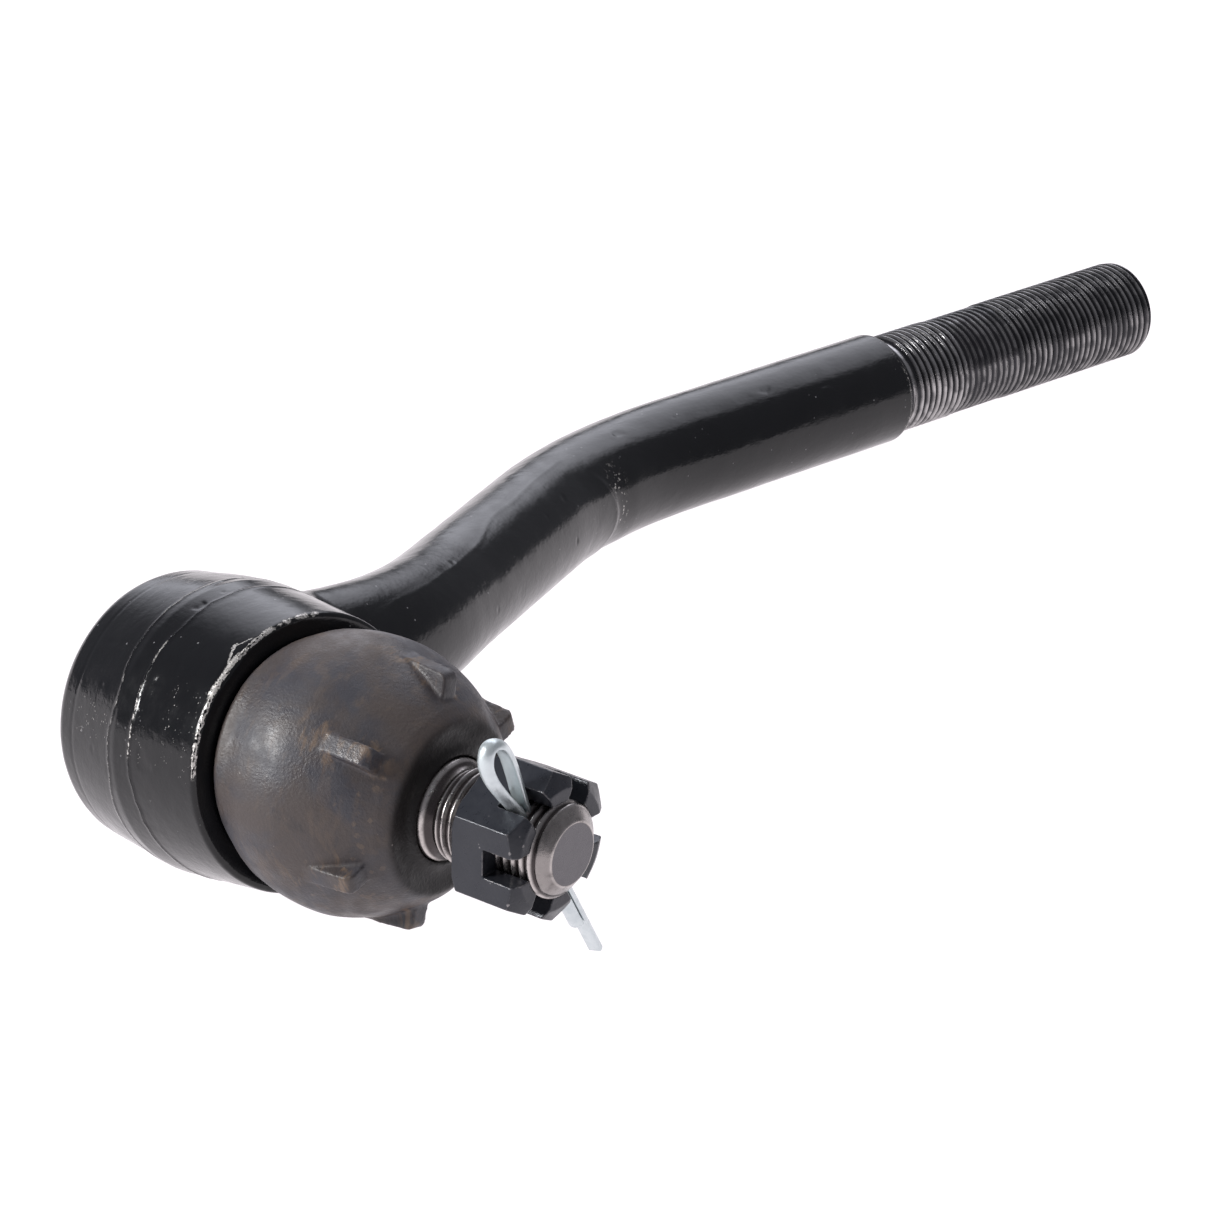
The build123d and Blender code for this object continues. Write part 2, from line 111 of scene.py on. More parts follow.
shank_offset = mounts["shank_thread"]["pos_m"][1] / MM
shank_radius = 9.72
shoulder_x = 178.8
shoulder_chamfer = 1.5
neck_start = (8.0, 7.2)
first_corner = (30.3, 7.2)
second_corner = (109.4, shank_offset)
first_bend_radius = 88.0
second_bend_radius = 84.0
neck_flare_height = 3.8
neck_flare_start = 22.0
neck_flare_length = 36.0
neck_flare_power = 1.55
neck_blend = 4.0

thread_radius = mounts["shank_thread"]["dims"]["r_mm"]
thread_end = float(housing_high[0])
thread_pitch = 25.4 / 18
thread_depth = 0.74
stud_thread_radius = 14.29 / 2

forging_voxel = 0.3
boot_voxel = 0.3
nut_voxel = 0.16
shank_rows, shank_cols = ((12, 160))
stud_rows, stud_cols = ((14, 144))
rng = np.random.default_rng(11)


# =================================================================== small maths helpers
def unit(v):
    return v / np.linalg.norm(v, axis=-1, keepdims=True)


def smoothstep(low, high, x):
    t = np.clip((x - low) / (high - low), 0.0, 1.0)
    return t * t * (3 - 2 * t)


LATTICE = rng.random((32, 32, 32))


def field_noise(points, size, shift=0.0):
    """Smooth value noise from 0 to 1 at points in millimetres, with features about size across."""
    p = points / size + shift
    cell = np.floor(p).astype(int)
    f = p - cell
    f = f * f * (3 - 2 * f)
    total = 0.0
    for corner in range(8):
        bits = np.array([corner & 1, corner >> 1 & 1, corner >> 2 & 1])
        index = (cell + bits) % 32
        weight = np.prod(np.where(bits, f, 1 - f), axis=1)
        total = total + weight * LATTICE[index[:, 0], index[:, 1], index[:, 2]]
    return total


def line_noise(values, size, shift):
    """Smooth noise from -1 to 1 along a line of values."""
    points = np.stack([values, np.full_like(values, 3.7), np.full_like(values, 8.1)], axis=1)
    return 2 * field_noise(points, size, shift) - 1


def frame_of(axis):
    """Two unit vectors square to an axis, the first leaning the way the stud leans."""
    axis = axis / np.linalg.norm(axis)
    side = LEAN_SIDE - axis * (axis @ LEAN_SIDE)
    side = side / np.linalg.norm(side)
    return side, np.cross(axis, side)


def leaning(angle_deg):
    """Unit vector that leans away from the bore in the plane the stud leans in."""
    a = math.radians(angle_deg)
    return BORE * math.cos(a) + LEAN_SIDE * math.sin(a)


# =================================================================== mesh helpers
def make_piece(name, points, faces):
    """A mesh object from points in millimetres."""
    mesh = bpy.data.meshes.new(name)
    mesh.from_pydata((np.asarray(points) * MM).tolist(), [], faces)
    mesh.validate()
    work = bmesh.new()
    work.from_mesh(mesh)
    bmesh.ops.recalc_face_normals(work, faces=work.faces)
    work.to_mesh(mesh)
    work.free()
    mesh.polygons.foreach_set("use_smooth", [True] * len(mesh.polygons))
    piece = bpy.data.objects.new(name, mesh)
    bpy.context.scene.collection.objects.link(piece)
    return piece


def ring_mesh(rings, loop=False):
    """Points and faces of a skin through rings of equal size: capped at both ends, or joined end to end."""
    rows, cols = rings.shape[:2]
    points = rings.reshape(-1, 3)
    faces = []
    for i in range(rows if loop else rows - 1):
        a, b = i * cols, (i + 1) % rows * cols
        faces += [(a + j, a + (j + 1) % cols, b + (j + 1) % cols, b + j) for j in range(cols)]
    if not loop:
        points = np.vstack([points, rings[0].mean(0), rings[-1].mean(0)])
        last = (rows - 1) * cols
        low, high = rows * cols, rows * cols + 1
        faces += [(low, (j + 1) % cols, j) for j in range(cols)]
        faces += [(high, last + j, last + (j + 1) % cols) for j in range(cols)]
    return points, faces


def joined(parts):
    """Points and faces of several meshes as one."""
    points, faces, base = [], [], 0
    for p, f in parts:
        points.append(p)
        faces += [tuple(base + k for k in face) for face in f]
        base += len(p)
    return np.vstack(points), faces


def mesh_points(piece):
    co = np.empty(len(piece.data.vertices) * 3)
    piece.data.vertices.foreach_get("co", co)
    return co.reshape(-1, 3) / MM


def set_points(piece, points):
    piece.data.vertices.foreach_set("co", (points * MM).ravel())
    piece.data.update()


def set_mask(piece, name, values):
    """A per-point value that the piece's material reads."""
    layer = piece.data.attributes.new(name, "FLOAT", "POINT")
    layer.data.foreach_set("value", np.asarray(values, np.float32))


def remeshed(piece, voxel):
    """Rebuilds a piece's mesh as one closed skin of even quads."""
    modifier = piece.modifiers.new("skin", "REMESH")
    modifier.mode = "VOXEL"
    modifier.voxel_size = voxel * MM
    graph = bpy.context.evaluated_depsgraph_get()
    skin = bpy.data.meshes.new_from_object(piece.evaluated_get(graph))
    piece.modifiers.clear()
    piece.data = skin
    skin.polygons.foreach_set("use_smooth", [True] * len(skin.polygons))


def relaxed(piece, steps):
    """Evens out a mesh without shrinking it, by pairs of smoothing and swelling passes."""
    edges = np.empty(len(piece.data.edges) * 2, int)
    piece.data.edges.foreach_get("vertices", edges)
    a, b = edges.reshape(-1, 2).T
    points = mesh_points(piece)
    shrink, swell = 0.5, -0.52
    count = np.bincount(np.concatenate([a, b]), minlength=len(points))[:, None]
    for step in range(2 * steps):
        total = np.zeros_like(points)
        for k in range(3):
            total[:, k] = np.bincount(a, points[b, k], len(points))
            total[:, k] += np.bincount(b, points[a, k], len(points))
        share = shrink if step % 2 == 0 else swell
        points = points + share * (total / count - points)
    set_points(piece, points)


def field_slope(field, points):
    """Gradient of a distance field by differences."""
    step = 0.02
    slope = np.empty_like(points)
    for k in range(3):
        shift = np.zeros(3)
        shift[k] = step
        slope[:, k] = (field(points + shift) - field(points - shift)) / (2 * step)
    return slope


def settle(piece, field):
    """Moves every point of a mesh on to the zero surface of a distance field."""
    reach = 0.35
    points = mesh_points(piece)
    for _ in range(3):
        slope = field_slope(field, points)
        size = np.maximum((slope**2).sum(1), 0.2)
        move = -field(points) / size
        points = points + slope * np.clip(move, -reach, reach)[:, None]
    set_points(piece, points)
    return points


# =================================================================== the forging as a distance field
def polygon_distance(x, y, corners):
    """Signed distance to a closed outline, negative inside."""
    best = np.full(x.shape, 1e9)
    sign = np.ones(x.shape)
    count = len(corners)
    for k in range(count):
        (ax, ay), (bx, by) = corners[k], corners[(k + 1) % count]
        ex, ey = bx - ax, by - ay
        wx, wy = x - ax, y - ay
        t = np.clip((wx * ex + wy * ey) / (ex * ex + ey * ey), 0, 1)
        best = np.minimum(best, (wx - ex * t) ** 2 + (wy - ey * t) ** 2)
        above, below = y >= ay, y < by
        left = ex * wy > ey * wx
        crossed = (above & below & left) | (~above & ~below & ~left)
        sign = np.where(crossed, -sign, sign)
    return sign * np.sqrt(best)


def smooth_union(a, b, width):
    """Union of two distance fields with a round of about a width in the corner."""
    share = np.maximum(width - np.abs(a - b), 0) / width
    return np.minimum(a, b) - share * share * width / 4


def bend_between(before, corner, after, radius):
    """Tangent points and centre of the round at a corner of the centreline."""
    before, corner, after = (np.array(v, float) for v in (before, corner, after))
    back = unit(before - corner)
    ahead = unit(after - corner)
    half = math.acos(float(back @ ahead)) / 2
    reach = radius / math.tan(half)
    centre = corner + unit(back + ahead) * radius / math.sin(half)
    return corner + back * reach, centre, corner + ahead * reach


bend_one = bend_between(neck_start, first_corner, second_corner, first_bend_radius)
bend_two = bend_between(first_corner, second_corner, (shoulder_x, shank_offset), second_bend_radius)
CENTRELINE = [
    ("line", np.array(neck_start), bend_one[0]),
    ("arc", bend_one),
    ("line", bend_one[2], bend_two[0]),
    ("arc", bend_two),
    ("line", bend_two[2], np.array([thread_end, shank_offset])),
]


def along_centreline(x, y):
    """Nearest point of the shank's centreline: its x, and how far off the line the point stands in plan."""
    best = np.full(x.shape, 1e9)
    where = np.zeros(x.shape)
    p = np.stack([x, y], axis=1)
    for kind, *data in CENTRELINE:
        if kind == "line":
            a, b = data
            t = np.clip((p - a) @ (b - a) / ((b - a) @ (b - a)), 0, 1)
            foot = a + t[:, None] * (b - a)
        else:
            start, centre, end = data[0]
            middle = unit((start + end) / 2 - centre)
            half = math.acos(float(unit(start - centre) @ middle))
            arm = unit(p - centre)
            angle = np.arctan2(middle[0] * arm[:, 1] - middle[1] * arm[:, 0], arm @ middle)
            angle = np.clip(angle, -half, half)
            c, s = np.cos(angle), np.sin(angle)
            turned = np.stack([c * middle[0] - s * middle[1], s * middle[0] + c * middle[1]], axis=1)
            foot = centre + turned * np.linalg.norm(start - centre)
        away = np.linalg.norm(p - foot, axis=1)
        closer = away < best
        best = np.where(closer, away, best)
        where = np.where(closer, foot[:, 0], where)
    return where, best


def rounded_back(shrink=0.0):
    """Outline corners of the round between the head's side and its back."""
    corner = back_corner - shrink
    return [
        (
            back_radius - back_corner + corner * math.cos(a),
            back_height + back_corner - corner * math.sin(a),
        )
        for a in np.linspace(0, math.pi / 2, 9)
    ]


# The head's outline drawn in by the rim's rounding, which the distance field adds back.
HEAD = [
    (0, rim_height - rim_corner),
    (rim_radius - rim_corner, rim_height - rim_corner),
    (parting_radius - rim_corner, parting_height),
    *rounded_back(rim_corner),
    (0, back_height + rim_corner),
]
CAVITY = [
    (-1, back_height - 3),
    (lip_radius, back_height - 3),
    (lip_radius, cover_seat - cover_thickness),
    (cover_pocket, cover_seat - cover_thickness),
    (cover_pocket, cover_seat),
    (bore_radius, cover_seat),
    (bore_radius, bore_front),
    (mouth_inner, bore_front),
    (mouth_inner, bore_front + mouth_land),
    (mouth_outer, rim_height - mouth_drop),
    (mouth_outer, rim_height + 3),
    (-1, rim_height + 3),
]


def half_height(x):
    """Half height of the shank's section, which flares towards the head."""
    flare = np.clip(1 - (x - neck_flare_start) / neck_flare_length, 0, 3) ** neck_flare_power
    return shank_radius + neck_flare_height * flare


def forging_field(p):
    """Distance to the forging: head and shank melted together, with the socket cut out."""
    rho = np.hypot(p[:, 0], p[:, 2])
    height = -p[:, 1]
    head = polygon_distance(rho, height, HEAD) - rim_corner
    where, away = along_centreline(p[:, 0], p[:, 1])
    scaled = np.hypot(away / shank_radius, p[:, 2] / half_height(where))
    tube = (scaled - 1) * shank_radius
    end = np.maximum(p[:, 0] - shoulder_x, neck_start[0] - p[:, 0])
    off_axis = np.hypot(p[:, 1] - shank_offset, p[:, 2])
    corner = (off_axis + p[:, 0] - (shank_radius + shoulder_x - shoulder_chamfer)) / math.sqrt(2)
    tube = np.maximum(np.maximum(tube, end), corner)
    solid = smooth_union(head, tube, neck_blend)
    return np.maximum(solid, -polygon_distance(rho, height, CAVITY))


def turned_rings(heights, radii, axis, cols, centre=(0, 0, 0)):
    """Rings round an axis, one for each height."""
    side, up = frame_of(axis)
    turn = np.linspace(0, 2 * math.pi, cols, endpoint=False)
    radii = np.asarray(radii, float)
    if radii.ndim == 1:
        radii = np.repeat(radii[:, None], cols, axis=1)
    spread = np.cos(turn)[None, :, None] * side + np.sin(turn)[None, :, None] * up
    return np.array(centre) + np.asarray(heights)[:, None, None] * axis + radii[:, :, None] * spread


def dense_outline(corners, step):
    """Points along an outline at an even step, up to its last corner."""
    out = []
    for a, b in zip(corners[:-1], corners[1:]):
        count = max(1, int(math.dist(a, b) / step))
        out += [(a[0] + (b[0] - a[0]) * i / count, a[1] + (b[1] - a[1]) * i / count) for i in range(count)]
    return out


def build_forging():
    """Head and neck joined by a voxel skin, which then settles on the distance field."""
    back_edge = (lip_radius, back_height)
    side = [(parting_radius, parting_height), (rim_radius, rim_height), (mouth_outer, rim_height)]
    shell = [back_edge, *reversed(rounded_back()), *side, *reversed(CAVITY[2:-2]), back_edge]
    outline = np.array(dense_outline(shell, 1.5))
    head = ring_mesh(turned_rings(outline[:, 1], outline[:, 0], BORE, 180), loop=True)
    stations = []
    for kind, *data in CENTRELINE:
        if kind == "line":
            a, b = data
            stations += [a + (b - a) * t for t in np.linspace(0, 1, 20, endpoint=False)]
        else:
            start, centre, end = data[0]
            for t in np.linspace(0, 1, 40, endpoint=False):
                chord = start + (end - start) * t
                stations.append(centre + unit(chord - centre) * np.linalg.norm(start - centre))
    first = np.array([bore_radius + 1.5, neck_start[1]])
    last = [shoulder_x, shank_offset]
    stations = [q for q in stations if bore_radius + 2 < q[0] < shoulder_x - 0.5]
    stations = np.array([first, *stations, last])
    direction = unit(np.gradient(stations, axis=0))
    turn = np.linspace(0, 2 * math.pi, 96, endpoint=False)
    rings = []
    for (x, y), (dx, dy) in zip(stations, direction):
        across = np.array([-dy, dx, 0]) * shank_radius
        tall = np.array([0, 0, half_height(x)])
        rings.append(np.array([x, y, 0]) + np.cos(turn)[:, None] * across + np.sin(turn)[:, None] * tall)
    neck = ring_mesh(np.array(rings))
    piece = make_piece("forging", *joined([head, neck]))
    remeshed(piece, forging_voxel)
    points = settle(piece, forging_field)
    return piece, points


# =================================================================== marks on the forging
# Clock angles round the head in degrees, and the heights there of its two flash lines.
BACK_LINE = ((90, 113, 148, 177, 210), (-2.8, -2.8, -1.7, -2.3, -3.2))
RIM_LINE = ((97, 109, 143, 161, 187, 224), (3.1, 2.9, 2.7, 2.4, 3.1, 4.2))
flash_width = 0.24
back_flash_lift = 0.10
rim_flash_lift = 0.12
chunk_clock = 128
chunk_depth = 0.25
ripple_lift = 0.035
dent_depth = 0.22
pit_depth = 0.10
die_mark_x = second_corner[0] - 9.5
die_mark_depth = 0.22
seam_lift = 0.05
step_height = -12.4
step_depth = 0.05


def between(low, high, x, fade):
    """1 between low and high, fading to 0 over a width outside them."""
    return smoothstep(low - fade, low, x) * smoothstep(high + fade, high, x)


def hill(x, width):
    """Smooth hill of height 1 at 0."""
    return np.exp(-((x / width) ** 2))


def flash_line(place, arc, clock, height, broad, fine, shifts):
    """How far each point stands from a wavy line round the head."""
    wave = broad * line_noise(arc, 6.0, shifts[0]) + fine[0] * line_noise(arc, fine[1], shifts[1])
    return height - np.interp(clock, *place) - wave


def mark_bend(points, where):
    """Witness of the bending die: a shallow flat with a crescent edge on the front of the second bend."""
    across = points[:, 2] + 1.5
    along = where - die_mark_x
    front = (points[:, 1] < shank_offset - 1) * (where > 80)
    zone = front * smoothstep(9.0, 4.5, np.abs(across))
    from_edge = along + 0.055 * across**2 - 1.5
    flat = smoothstep(-0.5, 1.0, from_edge) * smoothstep(9.0, 3.0, along)
    lift = zone * (0.05 * hill(from_edge, 0.9) - die_mark_depth * flat)
    scuff = hill(along - 3.5, 1.6) * zone * smoothstep(-6, -2, points[:, 2])
    return lift, scuff


def mark_forging(piece, points):
    """Lifts the flash lines, dents and ripples, and stores where the paint is worn for the material."""
    slope = unit(field_slope(forging_field, points))
    rho = np.hypot(points[:, 0], points[:, 2])
    height = -points[:, 1]
    clock = np.degrees(np.arctan2(points[:, 2], points[:, 0])) % 360
    arc = np.radians(clock) * parting_radius
    where = along_centreline(points[:, 0], points[:, 1])[0]
    on_head = smoothstep(1.2, 0.3, np.abs(polygon_distance(rho, height, HEAD) - rim_corner))
    on_side = on_head * smoothstep(back_radius - 1.5, back_radius - 0.5, rho)
    medium = field_noise(points, 2.3, 4.2)
    coarse = field_noise(points, 7.0, 9.1)
    back_line = flash_line(BACK_LINE, arc, clock, height, 0.45, (0.22, 1.9), (1.3, 6.3))
    rim_line = flash_line(RIM_LINE, arc, clock, height, 0.40, (0.20, 1.7), (7.7, 2.9))
    lift = back_flash_lift * hill(back_line, flash_width) + rim_flash_lift * hill(rim_line, flash_width)
    # Distance from the rim's edge, over its side and its face, and the chunk broken out of it.
    side_way = rim_height - rim_corner * 0.5 - height
    rim_way = np.where(side_way > 0, side_way, rho - rim_radius + rim_corner * 0.5)
    lift = lift - chunk_depth * hill(clock - chunk_clock, 7) * smoothstep(0.9, 0.2, np.abs(rim_way - 0.2))
    # Hammer ripples beside the back line near the top, and dents along the rim line.
    ripples = between(107, 120, clock, 5) * between(-5.5, 0.5, height, 1.5) * smoothstep(0.3, 0.7, coarse)
    lift = lift + ripple_lift * ripples * np.sin(arc * 6.5 + 9 * medium)
    dents = smoothstep(0.74, 0.90, field_noise(points, 1.3, 6.1)) * hill(rim_line + 0.5, 1.0)
    lift = lift - dent_depth * dents * between(92, 112, clock, 4)
    lift = lift * on_side
    # Unevenness and pits of the forged skin.
    lift = lift + 0.10 * (coarse - 0.5) + 0.025 * (medium - 0.5)
    lift = lift - pit_depth * smoothstep(0.82, 0.95, medium) * smoothstep(0.5, 0.8, coarse)
    bend_lift, scuff = mark_bend(points, where)
    # A long seam over the neck's top, left by the forging dies.
    seam_place = shank_offset * smoothstep(5, 125, where) - 2.5 + 0.8 * line_noise(where, 9.0, 4.4)
    top = (points[:, 2] > 2) * between(24, 92, where, 6)
    lift = lift + bend_lift + seam_lift * hill(points[:, 1] - seam_place, 0.35) * top
    # A faint step round the head where the back's rounding begins.
    lift = lift - step_depth * hill(height - step_height, 0.30) * on_head
    outer = smoothstep(bore_radius + 1.0, bore_radius + 2.5, rho)
    set_points(piece, points + slope * (lift * outer)[:, None])
    shoulder = smoothstep(shoulder_x - 2.2, shoulder_x - 1.0, points[:, 0])
    masks = {
        "arc": arc,
        "height": height,
        "clock": clock,
        "back_line": back_line,
        "rim_line": rim_line,
        "rim_way": rim_way,
        "on_side": on_head * smoothstep(bore_radius + 1.5, bore_radius + 3.0, rho),
        "scuff": np.maximum(scuff, shoulder),
    }
    for name, values in masks.items():
        set_mask(piece, name, values)


forging, forging_points = build_forging()
mark_forging(forging, forging_points)
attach(forging, "socket")
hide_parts("housing")


# =================================================================== threads
def tooth(phase):
    """Depth of a thread, 0 on the crest and 1 in the root, for a phase in turns."""
    crest = 0.16
    u = phase % 1.0
    slope = np.abs(u - 0.5) / (0.5 - crest / 2)
    return np.clip(1.12 * (1 - slope), 0, 1)


def threaded_rings(heights, limit, radius, depth, pitch, axis, cols, centre, fade, shape=None):
    """Rings of a bar whose skin is a helix between the fade heights, never outside the limit radii."""
    turn = np.linspace(0, 1, cols, endpoint=False)
    phase = (heights[:, None] - fade[0]) / pitch - turn[None, :]
    deep = tooth(phase)
    if shape is not None:
        deep = shape(heights[:, None], phase, deep)
    share = smoothstep(fade[0], fade[1], heights) * smoothstep(fade[3], fade[2], heights)
    radii = radius - depth * (1 - (1 - deep) * share[:, None])
    radii = np.minimum(radii, np.asarray(limit)[:, None])
    return turned_rings(heights, radii, axis, cols, centre), deep


def build_shank_thread():
    """The shank's thread: crisp by the shoulder, flattened in the middle, full to the end."""
    start, stop = shoulder_x - 1.5, thread_end
    chamfer = 1.2
    middle = (shoulder_x + 13.5, shoulder_x + 26.5)
    heights = np.arange(start, stop - 1.25, thread_pitch / shank_rows)
    heights = np.concatenate([heights, np.linspace(stop - chamfer, stop, 6)])
    limit = np.minimum(thread_radius + 0.02, thread_radius - chamfer + (stop - heights))
    limit = np.where(heights < shoulder_x + 1.3, thread_radius - thread_depth + 0.05, limit)

    def in_middle(height, fade):
        return smoothstep(middle[0] - fade, middle[0] + fade, height) * smoothstep(
            middle[1] + fade, middle[1] - fade, height
        )

    def shape(height, phase, deep):
        u = phase % 1.0
        groove = 0.55 * np.exp(-((np.minimum(u, 1 - u) / 0.07) ** 2))
        flattened = np.maximum(0.16 + 0.80 * deep, groove)
        inside = in_middle(height, 0.7)
        return deep * (1 - inside) + flattened * inside

    fade = (start, start + 3.2, stop + 9, stop + 10)
    rings, deep = threaded_rings(
        heights, limit, thread_radius, thread_depth, thread_pitch, np.array([1.0, 0, 0]), shank_cols,
        (0, shank_offset, 0), fade, shape=shape,
    )
    nicks = field_noise(rings.reshape(-1, 3), 1.6, 2.0).reshape(deep.shape)
    piece = make_piece("shank_thread", *ring_mesh(rings))
    crest = (1 - deep) * (0.72 + 0.28 * smoothstep(0.3, 0.6, nicks))
    beyond = smoothstep(middle[1] - 1, middle[1] + 1, heights)
    share = 0.92 - 0.10 * in_middle(heights, 1) - 0.27 * beyond
    set_mask(piece, "crest", np.concatenate([(crest * share[:, None]).ravel(), [0, 0.1]]))
    return piece


shank_thread = build_shank_thread()
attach(shank_thread, "socket")


def build_stud():
    """Ball, neck, taper and threaded end in one turned piece."""
    ball = 12.7
    neck, neck_top = 6.6, 17.6
    taper_start, taper_end = 20.2, 40.5
    slope = math.tan(math.radians(3.58))
    small = 7.6
    chamfer, tip_radius = 1.9, 4.75
    chamfer_wear = 0.45
    large = small + (taper_end - taper_start) * slope
    root = stud_thread_radius - thread_depth
    outline = [(ball_flat, 0.4), (ball_flat, math.sqrt(ball**2 - ball_flat**2) - 0.3)]
    last = math.acos(neck / ball)
    first = math.asin(ball_flat / ball)
    outline += [(ball * math.sin(a), ball * math.cos(a)) for a in np.linspace(first, last, 48)]
    outline += [(neck_top - 0.8, neck), (neck_top - 0.2, neck + 0.1), (taper_start - 0.3, large - 0.2)]
    outline += [(taper_start, large), (taper_end - 0.12, small + 0.01), (taper_end, small - 0.08)]
    outline += [(taper_end + 1.25, root + 0.1)]
    even = np.array(dense_outline(outline, 0.7))
    body = turned_rings(even[:, 0], even[:, 1], STUD, stud_cols)
    start = taper_end + 1.3
    heights = np.concatenate([
        np.arange(start, stud_tip - chamfer, thread_pitch / stud_rows),
        np.linspace(stud_tip - chamfer, stud_tip - 0.05, 12),
        [stud_tip],
    ])
    cone = tip_radius + (stud_tip - heights) * (stud_thread_radius - tip_radius) / chamfer
    limit = np.minimum(stud_thread_radius, cone)
    limit[-1] = tip_radius - 0.12
    fade = (start - 0.2, start + 1.6, stud_tip + 5, stud_tip + 6)
    rings, deep = threaded_rings(
        heights, limit, stud_thread_radius, thread_depth, thread_pitch, STUD, stud_cols, (0, 0, 0), fade
    )
    deep = np.where((limit < stud_thread_radius - 0.6)[:, None], chamfer_wear, deep)
    face_radii = np.array([tip_radius - 0.2, tip_radius - 0.4, 3.0, 1.5])
    face = turned_rings(np.full(4, stud_tip), face_radii, STUD, stud_cols)
    piece = make_piece("stud", *ring_mesh(np.vstack([body, rings, face])))
    # How bright each ring is rubbed: the taper's end, the crests, the tip's edge and the tip's face.
    taper = 0.9 * hill(even[:, 0] - taper_end, 0.16) + 0.12
    edge = 0.75 * hill(stud_tip - 0.1 - heights, 0.22)
    crest = np.maximum(1 - deep, edge[:, None])
    on_face = len(face_radii) * stud_cols
    rubbed = [np.repeat(taper, stud_cols), crest.ravel(), np.full(on_face, 0.30), [0, 0.30]]
    set_mask(piece, "crest", np.concatenate(rubbed))
    before_face = (len(even) + len(heights)) * stud_cols
    set_mask(piece, "face", np.concatenate([np.zeros(before_face), np.ones(on_face), [0, 1]]))
    return piece


stud = build_stud()
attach(stud, "stud")
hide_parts("ball_stud")


# =================================================================== nut
def softened_copy(node, name, voxel, steps):
    """A dense copy of a CAD node whose edges are eased, as on a part that has been handled."""
    piece = bpy.data.objects.new(name, frame["nodes"][node].data.copy())
    piece.data.materials.clear()
    bpy.context.scene.collection.objects.link(piece)
    remeshed(piece, voxel)
    relaxed(piece, steps)
    return piece


nut = softened_copy("castle_nut", "slotted_nut", nut_voxel, 3)
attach(nut, "stud")
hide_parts("castle_nut")


# =================================================================== cotter pin
cotter_clock = 157.0


def spline(points, count):
    """Centripetal curve through points, count samples to each span."""
    points = np.array(points, float)
    ends = np.vstack([2 * points[0] - points[1], points, 2 * points[-1] - points[-2]])
    out = []
    for k in range(len(points) - 1):
        p0, p1, p2, p3 = ends[k:k + 4]
        t = np.linspace(0, 1, count, endpoint=False)[:, None]
        out.append(0.5 * (2 * p1 + (p2 - p0) * t + (2 * p0 - 5 * p1 + 4 * p2 - p3) * t**2
                          + (3 * p1 - p0 - 3 * p2 + p3) * t**3))
    return np.vstack(out + [points[-1:]])


def build_cotter():
    """Half-round wire folded in two, swept along its flat's centreline in the plane square to the stud."""
    source = node_points("cotter_pin")
    low, high = float((source @ STUD).min()), float((source @ STUD).max())
    height = (low + high) / 2
    wire = (high - low) / 2
    side, up = frame_of(STUD)
    turn = math.radians(cotter_clock)
    ex = side * math.cos(turn) + up * math.sin(turn)
    ey = np.cross(STUD, ex)
    reach = float((source @ ex).max()) - wire
    long_leg = -float((source @ ex).min())
    gap, ease, slant = 0.10, 0.20, 0.55
    right = [(-long_leg, -gap), (-12, -gap), (0, -gap), (5.2, -gap), (9.0, -0.42), (13.2, -1.20)]
    eye = [(16.9, -1.66), (19.6, -1.35), (reach, 0.0), (19.6, 1.35), (16.9, 1.66)]
    left = [(13.2, 1.20), (9.0, 0.42), (5.2, gap), (0, gap), (-12, gap), (-19.1, gap)]
    path = spline(right + eye + left, 14)
    tangent = unit(np.gradient(path, axis=0))
    outward = np.stack([tangent[:, 1], -tangent[:, 0]], axis=1)
    arc = np.linspace(-math.pi / 2 + 0.16, math.pi / 2 - 0.16, 22)
    section = [(wire * math.cos(a), wire * math.sin(a)) for a in arc]
    section += [(ease * 0.3, wire - ease * 0.3), (0.0, wire - ease), (0.0, wire * 0.4)]
    section += [(0.0, -wire * 0.4), (0.0, -wire + ease), (ease * 0.3, -wire + ease * 0.3)]
    section = np.array(section)
    rings = []
    for (x, y), (ox, oy) in zip(path, outward):
        flat = STUD * height + ex * x + ey * y
        out_dir = ex * ox + ey * oy
        rings.append(flat + section[:, :1] * out_dir + section[:, 1:] * STUD)
    rings = np.array(rings)
    # The long leg's tip is cut on a slant, and both ends have a smaller ring inside their edge.
    rings[0] += (slant * section[:, 1] / wire)[:, None] * ex
    caps = [ring * 0.35 + ring.mean(0) * 0.65 for ring in (rings[0], rings[-1])]
    rings = np.concatenate([caps[:1], rings, caps[1:]])
    piece = make_piece("split_pin", *ring_mesh(rings))
    bevel = piece.modifiers.new("edges", "BEVEL")
    bevel.width = 0.10 * MM
    bevel.segments = 2
    bevel.limit_method = "ANGLE"
    bevel.angle_limit = math.radians(50)
    return piece


cotter = build_cotter()
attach(cotter, "stud")
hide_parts("cotter_pin")

# =================================================================== dust boot
# Height on the stud's axis, outer radius, lean of the ring in degrees, and how far its middle lags.
BOOT_RINGS = [
    (18.6, 19.5, 4.6, 2.0),
    (22.0, 20.3, 6.8, 1.6),
    (26.5, 20.4, 8.6, 1.1),
    (31.0, 19.0, 10.2, 0.6),
    (35.0, 16.9, 11.8, 0.2),
    (38.2, 14.6, 12.9, 0.0),
]
# Height and radius over the chamfered crown, across its dished top to the lip, and down the hole.
BOOT_CROWN = [
    (39.1, 13.7), (39.6, 13.15), (39.85, 12.7), (39.85, 12.2), (39.55, 10.6), (39.55, 9.6),
    (39.95, 8.8), (40.2, 8.4), (40.25, 8.05), (40.0, 7.78), (38.3, 7.90), (37.9, 8.3), (35.6, 8.4),
    (35.1, 8.8), (35.0, 10.0), (34.9, 12.6),
]
